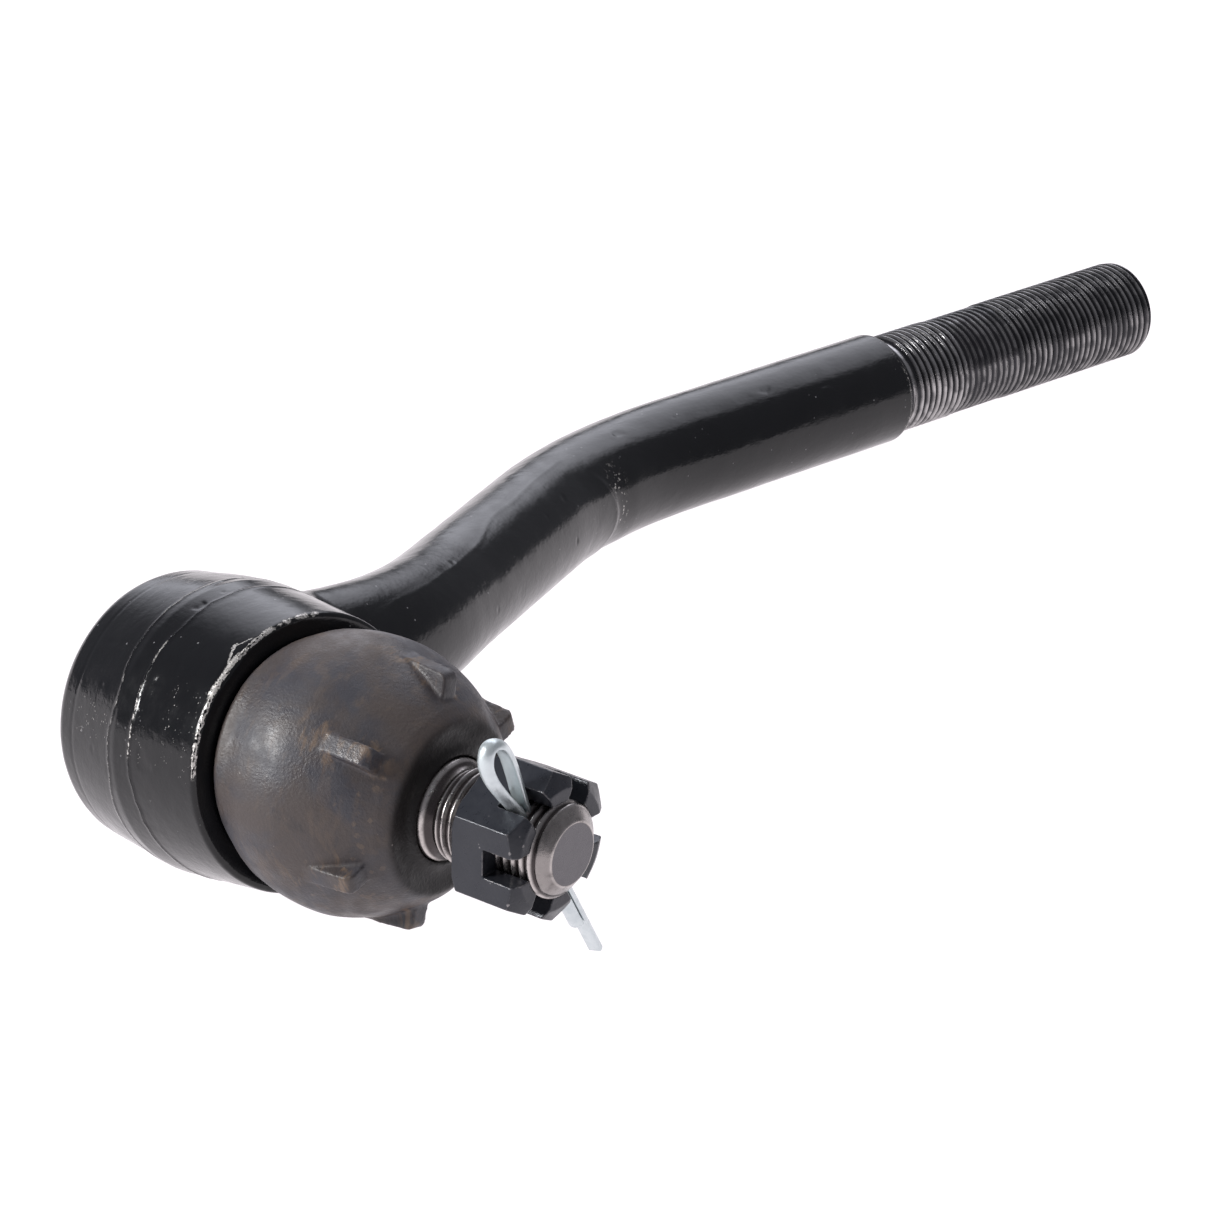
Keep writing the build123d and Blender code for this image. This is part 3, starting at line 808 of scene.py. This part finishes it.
# Height and radius round the bore of the foot, which turns in under the base and lies on the head's rim.
BOOT_FOOT = [(18.0, 16.95), (17.0, 16.65), (16.72, 16.7), (16.72, 17.3), (17.3, 17.6), (17.8, 17.9)]
boot_cols = 160
boot_wall = 2.3
boot_base_thinning = 1.1
fin_count = 6
fin_clock = 55.6
fin_half_width = 1.5
fin_tip = 19.35
fin_top = 37.0
fin_corner = 1.3


def boot_ring(height, radius, lean, lag):
    """Ring of the boot: it leans less than the stud near the base, and its middle lags the stud's axis."""
    side, up = frame_of(leaning(lean))
    turn = np.linspace(0, 2 * math.pi, boot_cols, endpoint=False)
    centre = STUD * height - LEAN_SIDE * lag
    return centre + radius * (np.cos(turn)[:, None] * side + np.sin(turn)[:, None] * up)


def boot_shell():
    """The boot's wall, crown and foot as one closed skin."""
    wall = spline(BOOT_RINGS, 8)
    rings = [boot_ring(h, r, lean, lag) for h, r, lean, lag in wall]
    top_lean = BOOT_RINGS[-1][2]
    rings += [boot_ring(h, r, top_lean, 0.0) for h, r in BOOT_CROWN]
    # The wall is thinner at the base, clear of the stud when it leans over to its limit.
    keep = wall[(wall[:, 0] > 20.2) & (wall[:, 0] < 34.2)][::-1]
    thick = boot_wall - boot_base_thinning * smoothstep(26.0, 19.0, keep[:, 0])
    rings += [boot_ring(h, r - t, lean, lag) for (h, r, lean, lag), t in zip(keep, thick)]
    for h, r in BOOT_FOOT:
        on_stud = h / (BORE @ STUD)
        rings.append(boot_ring(on_stud, r, 0.0, on_stud * float(LEAN_SIDE @ STUD)))
    return ring_mesh(np.array(rings), loop=True)


def boot_fins():
    """Ribs with a rounded outer corner, spaced evenly round the stud."""
    profile = [(17.0, 27.0), (20.1, 26.8)]
    for a in np.linspace(0, math.pi / 2, 7):
        radius = fin_tip - fin_corner + fin_corner * math.cos(a)
        profile.append((radius, fin_top - fin_corner + fin_corner * math.sin(a)))
    profile += [(14.0, fin_top + 0.05), (14.0, 33.0)]
    side, up = frame_of(STUD)
    fins = []
    for k in range(fin_count):
        turn = math.radians(fin_clock + k * 360 / fin_count)
        out_dir = side * math.cos(turn) + up * math.sin(turn)
        across = np.cross(STUD, out_dir)
        ends = [
            [STUD * h + out_dir * r + across * shift for r, h in profile]
            for shift in (-fin_half_width, fin_half_width)
        ]
        fins.append(ring_mesh(np.array(ends)))
    return fins


def build_boot():
    """Shell and fins melted together, with the slight unevenness of moulded rubber."""
    piece = make_piece("rubber_boot", *joined([boot_shell(), *boot_fins()]))
    remeshed(piece, boot_voxel)
    relaxed(piece, 2)
    points = mesh_points(piece)
    dents = 0.18 * (field_noise(points, 11.0, 3.3) - 0.5) + 0.05 * (field_noise(points, 3.0, 1.1) - 0.5)
    normals = np.empty(len(points) * 3)
    piece.data.vertices.foreach_get("normal", normals)
    set_points(piece, points + normals.reshape(-1, 3) * dents[:, None])
    points = mesh_points(piece)
    side, up = frame_of(STUD)
    height = points @ STUD
    radius = np.linalg.norm(points - np.outer(height, STUD), axis=1)
    set_mask(piece, "crown", smoothstep(14.1, 12.0, radius) * smoothstep(36.5, 38.3, height))
    # Distance round the boot to the nearest fin.
    turn = np.degrees(np.arctan2(points @ up, points @ side))
    step = 360 / fin_count
    near = np.radians(np.abs((turn - fin_clock + step / 2) % step - step / 2)) * radius
    fin = smoothstep(5.5, 1.4, near) * smoothstep(23.0, 29.0, height) * smoothstep(14.0, 16.0, radius)
    set_mask(piece, "fin", fin)
    return piece


boot = build_boot()
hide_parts("dust_boot")
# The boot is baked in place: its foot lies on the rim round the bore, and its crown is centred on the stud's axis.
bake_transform(boot)


# =================================================================== materials
class Nodes:
    """Builds a node tree socket by socket."""

    def __init__(self, tree):
        self.tree = tree

    def put(self, socket, value):
        if isinstance(value, bpy.types.NodeSocket):
            self.tree.links.new(value, socket)
        elif isinstance(value, tuple) and len(value) == 3 and socket.type == "RGBA":
            socket.default_value = (*value, 1.0)
        else:
            socket.default_value = value

    def node(self, kind, **inputs):
        made = self.tree.nodes.new(kind)
        for key, value in inputs.items():
            self.put(made.inputs[key.replace("_", " ")], value)
        return made

    def maths(self, operation, a, b=0.0):
        made = self.tree.nodes.new("ShaderNodeMath")
        made.operation = operation
        self.put(made.inputs[0], a)
        self.put(made.inputs[1], b)
        return made.outputs[0]

    def times(self, a, b):
        return self.maths("MULTIPLY", a, b)

    def less(self, a, b):
        return self.maths("SUBTRACT", a, b)

    def most(self, first, *others):
        for value in others:
            first = self.maths("MAXIMUM", first, value)
        return first

    def line(self, value, low, high, start, stop):
        """Straight change from start to stop."""
        source, target = {"From_Min": low, "From_Max": high}, {"To_Min": start, "To_Max": stop}
        return self.node("ShaderNodeMapRange", Value=value, **source, **target)

    def ramp(self, value, low, high, start=0.0, stop=1.0):
        """Smooth change from start to stop."""
        made = self.line(value, low, high, start, stop)
        made.interpolation_type = "SMOOTHSTEP"
        return made.outputs["Result"]


class Finish(Nodes):
    """A procedural material. Lengths are in millimetres."""

    def __init__(self, name, coat=0.0):
        self.material = bpy.data.materials.new(name)
        self.material.use_nodes = True
        super().__init__(self.material.node_tree)
        self.shader = self.tree.nodes["Principled BSDF"]
        self.shader.inputs["Coat Weight"].default_value = coat
        self.place = self.node("ShaderNodeTexCoord").outputs["Object"]

    def set(self, **inputs):
        for key, value in inputs.items():
            self.put(self.shader.inputs[key.replace("_", " ")], value)

    def noise(self, size, detail=4.0, roughness=0.55, stretch=None, distortion=0.0):
        place = self.place
        if stretch is not None:
            mapping = self.node("ShaderNodeMapping", Vector=place)
            mapping.inputs["Scale"].default_value = stretch
            place = mapping.outputs[0]
        made = self.node(
            "ShaderNodeTexNoise", Vector=place, Scale=1.0 / (size * MM), Detail=detail,
            Roughness=roughness, Distortion=distortion,
        )
        return made.outputs["Fac"]

    def patches(self, size, detail, low, high, start=0.0, stop=1.0):
        """Blots of noise between start and stop."""
        return self.ramp(self.noise(size, detail), low, high, start, stop)

    def varied(self, size, detail, low, high):
        """A value that wanders from low to high."""
        return self.patches(size, detail, 0.3, 0.7, low, high)

    def dots(self, spacing, outer, inner):
        """Round specks, with radii as shares of their spacing."""
        made = self.node("ShaderNodeTexVoronoi", Vector=self.place, Scale=1.0 / (spacing * MM))
        return self.ramp(made.outputs["Distance"], outer, inner)

    def mask(self, name):
        made = self.node("ShaderNodeAttribute")
        made.attribute_name = name
        return made.outputs["Fac"]

    def mix(self, share, a, b):
        made = self.tree.nodes.new("ShaderNodeMix")
        made.data_type = "RGBA"
        self.put(made.inputs["Factor"], share)
        self.put(made.inputs[6], a)
        self.put(made.inputs[7], b)
        return made.outputs[2]

    def bump(self, height, depth, normal=None):
        made = self.node("ShaderNodeBump", Height=height, Strength=1.0, Distance=depth * MM)
        if normal is not None:
            self.put(made.inputs["Normal"], normal)
        return made.outputs["Normal"]

    def hump(self, value, middle, width):
        """1 at the middle, falling to 0 at a width either side."""
        return self.ramp(self.maths("ABSOLUTE", self.less(value, middle)), width, 0.4 * width)

    def ridge(self, mask, width):
        """A thin line where a mask passes through 0, made a little ragged."""
        ragged = self.times(self.less(self.noise(0.8, 4.0), 0.5), 0.5)
        return self.hump(self.maths("ADD", self.mask(mask), ragged), 0.0, width)

    def window(self, mask, low, high, fade):
        """1 while a mask is between low and high."""
        value = self.mask(mask)
        return self.times(self.ramp(value, low - fade, low), self.ramp(value, high + fade, high))

    def pointiness(self):
        return self.tree.nodes.new("ShaderNodeNewGeometry").outputs["Pointiness"]


BARE_STEEL = (0.60, 0.575, 0.55)
PAINT_BLACKS = (0.0030, 0.0032, 0.0040), (0.0055, 0.0057, 0.0068)
PAINT_DUST = (0.13, 0.13, 0.135)
RUBBER_GREYS = (0.035, 0.034, 0.041), (0.047, 0.037, 0.034)
RUBBER_SMUDGE = (0.020, 0.020, 0.024)
RUBBER_DUST = (0.130, 0.088, 0.058)
RUBBER_EDGE = (0.12, 0.085, 0.06)
RUBBER_CROWN = (0.0095, 0.0085, 0.0085)
RUBBER_SPECK = (0.32, 0.29, 0.27)
OXIDE_GREYS = (0.016, 0.018, 0.024), (0.030, 0.032, 0.039)
OXIDE_RUBBED = (0.36, 0.34, 0.34)
POLYMER_BLACKS = (0.020, 0.019, 0.018), (0.036, 0.031, 0.026)
paint_ior = 1.42


def black_paint(name, rough=0.11, marked=True):
    """Gloss black paint over a forging, with dust, orange peel and, where marked, chips to bare metal."""
    f = Finish(name)
    dust = f.times(f.dots(2.1, 0.095, 0.05), f.patches(7.0, 4.0, 0.47, 0.58))
    tone = f.mix(dust, f.mix(f.noise(6.0), *PAINT_BLACKS), PAINT_DUST)
    roughness = f.varied(3.5, 6.0, rough, rough + 0.10)
    skin = f.bump(f.noise(0.7, 3.0), 0.020)
    skin = f.bump(f.noise(2.0, 4.0, stretch=(0.45, 1.0, 1.0)), 0.060, skin)
    if marked:
        side = f.mask("on_side")
        worn = f.times(f.most(head_chips(f), rim_wear(f), specks(f)), side)
        scuffed = f.times(f.mask("scuff"), f.patches(0.8, 5.0, 0.56, 0.66))
        grain = f.patches(0.32, 3.0, 0.34, 0.52)
        bare = f.times(f.most(worn, scuffed), grain)
        tone = f.mix(bare, tone, BARE_STEEL)
        f.set(Metallic=f.times(bare, 0.85))
        roughness = f.maths("ADD", roughness, f.times(bare, 0.22))
        skin = f.bump(bare, -0.04, skin)
        line = f.most(f.ridge("back_line", 0.13), f.ridge("rim_line", 0.15))
        skin = f.bump(f.times(line, side), 0.09, skin)
    f.set(Base_Color=tone, Roughness=roughness, Normal=skin, IOR=paint_ior)
    return f.material


def head_chips(f):
    """Flash lines chipped to the metal: most of the rim line's left side, little of the back line."""
    rim = f.times(f.ridge("rim_line", 0.22), f.window("clock", 147, 171, 3))
    rim = f.times(rim, f.patches(0.9, 5.0, 0.44, 0.56))
    upper = f.times(f.ridge("rim_line", 0.20), f.window("clock", 127, 134, 2))
    back = f.times(f.ridge("back_line", 0.12), f.window("clock", 146, 196, 10))
    back = f.times(back, f.patches(1.2, 4.0, 0.46, 0.62, 0.0, 0.45))
    top = f.times(f.ridge("back_line", 0.10), f.window("clock", 92, 113, 4))
    return f.most(rim, f.times(upper, 0.6), back, f.times(top, 0.35))


def rim_wear(f):
    """Ragged bare strip on the rim's edge, widest near clock 128 and forked above it."""
    ragged = f.times(f.less(f.noise(0.9, 5.0), 0.5), 1.1)
    way = f.maths("ADD", f.mask("rim_way"), ragged)
    clock = f.mask("clock")
    thin = f.times(f.hump(way, 0.0, 0.17), f.window("clock", 104, 172, 3))
    thick = f.times(f.hump(way, 0.2, 0.42), f.window("clock", 121, 139, 3))
    patchy = f.times(f.hump(way, 0.1, 0.28), f.window("clock", 80, 104, 3))
    patchy = f.times(patchy, f.patches(1.6, 4.0, 0.44, 0.55))
    # The fork climbs back from the edge as the clock falls from 127 to 117, and comes down again by 110.
    climb = f.line(clock, 127.0, 117.0, 0.3, 1.9).outputs["Result"]
    fork = f.times(f.hump(f.less(way, climb), 0.0, 0.24), f.window("clock", 116, 127, 1))
    drop = f.line(clock, 118.0, 110.0, 1.9, 0.4).outputs["Result"]
    tail = f.times(f.hump(f.less(way, drop), 0.0, 0.16), f.window("clock", 111, 118, 1))
    return f.most(thin, thick, patchy, fork, f.times(tail, 0.8))


def specks(f):
    """Clusters of tiny chips, drawn out along the head's girth."""
    place = f.node("ShaderNodeCombineXYZ", X=f.times(f.mask("arc"), 0.55), Y=f.mask("height"))
    cells = f.node("ShaderNodeTexVoronoi", Vector=place.outputs[0], Scale=2.9)
    chips = f.ramp(cells.outputs["Distance"], 0.22, 0.12)
    near_rim = f.times(f.window("clock", 141, 172, 6), f.window("height", 9.0, 14.5, 1.5))
    near_line = f.times(f.window("clock", 150, 174, 5), f.window("height", 3.4, 5.0, 0.8))
    near_back = f.times(f.window("clock", 158, 169, 4), f.window("height", -10.0, -3.0, 2.0))
    zone = f.times(f.most(near_rim, near_line, near_back), f.patches(1.5, 3.0, 0.48, 0.60))
    return f.times(chips, f.times(zone, 0.6))


def thread_steel(name, root, crest, rough, face=None):
    """Rolled thread: dark in the roots, rubbed bright on the crests."""
    f = Finish(name)
    rub = f.times(f.ramp(f.mask("crest"), 0.25, 0.85), f.patches(1.3, 5.0, 0.26, 0.52, 0.55, 1.0))
    tone = f.mix(rub, root, crest)
    stain = f.patches(5.0, 6.0, 0.52, 0.75, 0.0, 0.35)
    if face is not None:
        flat = f.mask("face")
        tone = f.mix(flat, tone, face)
        stain = f.times(stain, f.ramp(flat, 0.0, 1.0, 1.0, 0.25))
    tone = f.mix(stain, tone, tuple(0.6 * c for c in root))
    f.set(Base_Color=tone, Metallic=f.ramp(rub, 0.0, 1.0, 0.75, 1.0))
    f.set(Roughness=f.varied(1.2, 4.0, rough, rough + 0.14))
    f.set(Normal=f.bump(f.noise(0.4, 4.0), 0.02))
    return f.material


def rubber(name):
    """Matt rubber with brown dust that gathers round the fins, and a crown coloured much darker and less shiny
    than the rest.
    """
    f = Finish(name)
    cloud = f.ramp(f.noise(12.0, 4.0, 0.6, distortion=0.4), 0.40, 0.62)
    smudge = f.ramp(f.noise(7.0, 5.0, 0.6, distortion=0.8), 0.58, 0.72)
    smear = f.noise(4.5, 6.0, 0.62, stretch=(1.0, 2.2, 0.7), distortion=0.6)
    dusty = f.times(f.ramp(smear, 0.52, 0.66), f.ramp(f.mask("fin"), 0.0, 1.0, 0.22, 1.0))
    edge = f.times(f.ramp(f.pointiness(), 0.53, 0.60), f.patches(2.4, 4.0, 0.42, 0.60))
    speck = f.times(f.dots(2.6, 0.06, 0.025), f.patches(6.0, 2.0, 0.5, 0.6, 0.0, 0.5))
    tone = f.mix(cloud, *RUBBER_GREYS)
    tone = f.mix(f.times(smudge, 0.6), tone, RUBBER_SMUDGE)
    tone = f.mix(f.times(dusty, 0.7), tone, RUBBER_DUST)
    tone = f.mix(f.times(edge, 0.4), tone, RUBBER_EDGE)
    # The crown round the stud is coloured near black, much darker than the wall.
    tone = f.mix(f.mask("crown"), tone, RUBBER_CROWN)
    tone = f.mix(speck, tone, RUBBER_SPECK)
    f.set(Base_Color=tone, Roughness=f.ramp(f.noise(4.0, 6.0, 0.65), 0.3, 0.7, 0.36, 0.60))
    skin = f.bump(f.noise(0.45, 3.0), 0.085)
    f.set(Normal=f.bump(f.noise(3.0, 4.0), 0.05, skin))
    f.set(Specular_IOR_Level=f.ramp(f.mask("crown"), 0.0, 1.0, 0.5, 0.25))
    return f.material


def oxide(name):
    """Black oxide on a forged nut, with lighter rubbed edges and small nicks."""
    f = Finish(name)
    rub = f.times(f.ramp(f.pointiness(), 0.52, 0.58), f.patches(1.4, 5.0, 0.34, 0.60))
    nick = f.times(f.dots(1.6, 0.10, 0.05), f.patches(3.0, 4.0, 0.48, 0.58))
    worn = f.most(f.times(rub, 0.75), f.times(nick, 0.5))
    f.set(Base_Color=f.mix(worn, f.mix(f.noise(4.0, 6.0), *OXIDE_GREYS), OXIDE_RUBBED), Metallic=0.35)
    f.set(Roughness=f.varied(1.5, 5.0, 0.26, 0.40))
    f.set(Normal=f.bump(f.noise(0.7, 5.0), 0.03))
    return f.material


def plated(name, tone_a, tone_b, rough, metallic=1.0):
    """Bright plated or drawn steel with fine handling marks."""
    f = Finish(name)
    f.set(Base_Color=f.mix(f.noise(2.2, 5.0), tone_a, tone_b), Metallic=metallic)
    f.set(Roughness=f.varied(1.1, 5.0, rough, rough + 0.18))
    f.set(Normal=f.bump(f.noise(0.6, 5.0), 0.02))
    return f.material


def polymer(name):
    """Moulded bearing polymer with a film of grease."""
    f = Finish(name, coat=0.3)
    f.set(Base_Color=f.mix(f.patches(5.0, 4.0, 0.4, 0.65), *POLYMER_BLACKS))
    f.set(Roughness=f.varied(2.0, 4.0, 0.35, 0.55))
    f.set(Normal=f.bump(f.noise(0.8, 4.0), 0.02))
    return f.material


def paint(piece, material):
    piece.data.materials.clear()
    piece.data.materials.append(material)


def paint_node(node, material):
    for slot in frame["nodes"][node].material_slots:
        slot.link = "OBJECT"
        slot.material = material


SHANK_STEEL = (0.030, 0.030, 0.034), (0.42, 0.41, 0.41)
STUD_STEEL = (0.055, 0.047, 0.047), (0.50, 0.47, 0.455)
STUD_FACE = (0.12, 0.116, 0.124)
COTTER_ZINC = (0.66, 0.71, 0.72), (0.50, 0.56, 0.58)
SPRING_STEEL = (0.45, 0.44, 0.43), (0.32, 0.31, 0.30)
SEAT_STEEL = (0.47, 0.46, 0.44), (0.36, 0.34, 0.32)
FITTING_ZINC = (0.70, 0.68, 0.58), (0.60, 0.57, 0.46)

paint(forging, black_paint("forged_black"))
paint(shank_thread, thread_steel("rolled_thread", *SHANK_STEEL, 0.14))
paint(stud, thread_steel("stud_steel", *STUD_STEEL, 0.22, face=STUD_FACE))
paint(nut, oxide("black_oxide"))
paint(cotter, plated("bright_zinc", *COTTER_ZINC, 0.28, metallic=0.75))
paint(boot, rubber("boot_rubber"))
paint_node("end_cover", black_paint("cover_black", 0.22, marked=False))
for spring in ("preload_spring", "fitting_spring", "fitting_ball"):
    paint_node(spring, plated(spring + "_steel", *SPRING_STEEL, 0.28))
paint_node("spring_seat", plated("pressed_steel", *SEAT_STEEL, 0.34))
paint_node("grease_fitting", plated("fitting_zinc", *FITTING_ZINC, 0.24))
for bearing in ("upper_bearing", "lower_bearing"):
    paint_node(bearing, polymer(bearing + "_polymer"))


# =================================================================== floor, light and camera
FLOOR_GREYS = (0.10, 0.10, 0.10), (0.12, 0.12, 0.12)
FLOOR_TINT = (1.0, 0.945, 0.985, 1.0)
WORLD_TINT = (0.955, 0.965, 1.06, 1.0)
floor_glow = 1.07
floor_half = 6.0
floor_gap = 0.0002
# Bearings in radians to the right of the camera's heading, and the sine of the rise above the floor.
panel_left = (math.radians(-40), math.radians(-4))
panel_right = (math.radians(-10), math.radians(-30))
# The panel's right edge leans outwards as it rises.
panel_slant = math.radians(100)
panel_top = (0.92, 0.66)
panel_level = 2.0
surround_level = 0.22
# Camera: bearing, rise and roll in degrees, place in metres, lens in millimetres.
camera_azimuth = -40.905
camera_elevation = 18.387
camera_roll = -3.964
camera_place = (-0.3899, -0.5454, 0.2408)
camera_lens = 144.48
camera_shift = (-0.0424, -0.0252)
lamp_target = (0.06, 0.01, 0.0)


def resting_plane():
    """The plane the part lies on: it touches the head, the end of the shank and the cotter pin's tip."""
    housing = node_points("housing") * MM
    head = housing[housing[:, 0] < 0.02]
    shank_end = housing[housing[:, 0] > 0.2]
    groups = (head, shank_end, node_points("cotter_pin") * MM)
    normal = np.array([0.0, 0.0, 1.0])
    for _ in range(12):
        a, b, c = (g[np.argmin(g @ normal)] for g in groups)
        normal = unit(np.cross(b - a, c - a))
        normal = normal * (1 if normal[2] > 0 else -1)
    return a, normal


floor_point, floor_normal = resting_plane()
outside = (forging, cotter, boot, shank_thread)
lowest = min(float((mesh_points(p) * MM @ floor_normal).min()) for p in outside)
floor_level = min(lowest, float(floor_point @ floor_normal)) - floor_gap


def build_floor():
    """A pale sheet that glows like a light table, so the part stands almost free of shadow."""
    mesh = bpy.data.meshes.new("floor")
    turn = Vector(floor_normal).to_track_quat("Z", "Y")
    origin = Vector(floor_normal * floor_level)
    corners = [(-1, -1, 0), (1, -1, 0), (1, 1, 0), (-1, 1, 0)]
    mesh.from_pydata([turn @ (Vector(c) * floor_half) + origin for c in corners], [], [(0, 1, 2, 3)])
    floor = bpy.data.objects.new("floor", mesh)
    bpy.context.scene.collection.objects.link(floor)
    f = Finish("pale_floor")
    f.set(Base_Color=f.mix(f.noise(400.0, 3.0), *FLOOR_GREYS), Roughness=0.6, Specular_IOR_Level=0.0)
    f.set(Emission_Color=FLOOR_TINT, Emission_Strength=floor_glow)
    paint(floor, f.material)


def build_camera():
    """Long lens, low three-quarter view from the stud's side, turned a little about its own axis."""
    azimuth, elevation, roll = (math.radians(a) for a in (camera_azimuth, camera_elevation, camera_roll))
    ahead = Vector((
        -math.sin(azimuth) * math.cos(elevation),
        math.cos(azimuth) * math.cos(elevation),
        -math.sin(elevation),
    ))
    level = ahead.cross(Vector((0, 0, 1))).normalized()
    upright = level.cross(ahead)
    right = level * math.cos(roll) + upright * math.sin(roll)
    up = right.cross(ahead)
    data = bpy.data.cameras.new("camera")
    data.lens = camera_lens
    data.shift_x, data.shift_y = camera_shift
    data.clip_start = 0.01
    camera = bpy.data.objects.new("camera", data)
    turned = Matrix((right, up, -ahead)).transposed()
    camera.matrix_world = Matrix.Translation(camera_place) @ turned.to_4x4()
    bpy.context.scene.collection.objects.link(camera)
    bpy.context.scene.camera = camera
    return np.array(ahead)


build_floor()
heading = build_camera()
studio_ahead = unit(heading - floor_normal * (heading @ floor_normal))
studio_right = np.cross(studio_ahead, floor_normal)


def build_world():
    """A dark studio with one wide bright panel behind the part, seen over its top."""
    world = bpy.data.worlds.new("studio")
    world.use_nodes = True
    bpy.context.scene.world = world
    studio = Nodes(world.node_tree)
    background = studio.tree.nodes["Background"]
    place = studio.node("ShaderNodeTexCoord").outputs["Generated"]

    def along(axis):
        dot = studio.node("ShaderNodeVectorMath")
        dot.operation = "DOT_PRODUCT"
        studio.put(dot.inputs[0], place)
        dot.inputs[1].default_value = axis
        return dot.outputs["Value"]

    bearing = studio.maths("ARCTAN2", along(studio_right), along(studio_ahead))
    rise = along(floor_normal)
    slanted = studio.less(bearing, studio.times(rise, panel_slant))
    panel = studio.times(studio.ramp(bearing, *panel_left), studio.ramp(slanted, *panel_right))
    panel = studio.times(panel, studio.ramp(rise, *panel_top))
    level = studio.maths("ADD", studio.times(panel, panel_level), surround_level)
    studio.put(background.inputs["Strength"], level)
    background.inputs["Color"].default_value = WORLD_TINT


def area_light(name, bearing, rise, distance, size, power):
    """A soft square light, placed in degrees right of the camera's heading and above the floor."""
    b, e = math.radians(bearing), math.radians(rise)
    level = studio_ahead * math.cos(b) + studio_right * math.sin(b)
    away = Vector(level * math.cos(e) + floor_normal * math.sin(e))
    light = bpy.data.lights.new(name, "AREA")
    light.shape = "RECTANGLE"
    light.size, light.size_y = size, size
    light.energy = power
    lamp = bpy.data.objects.new(name, light)
    lamp.location = Vector(lamp_target) + away * distance
    lamp.rotation_mode = "QUATERNION"
    lamp.rotation_quaternion = away.to_track_quat("Z", "Y")
    bpy.context.scene.collection.objects.link(lamp)
    return lamp


build_world()
area_light("key", -112, 25, 1.1, 0.30, 14.0)
fill = area_light("overhead", 20, 78, 1.3, 1.4, 16.0)
fill.visible_glossy = False
bpy.context.scene.view_settings.view_transform = "Standard"
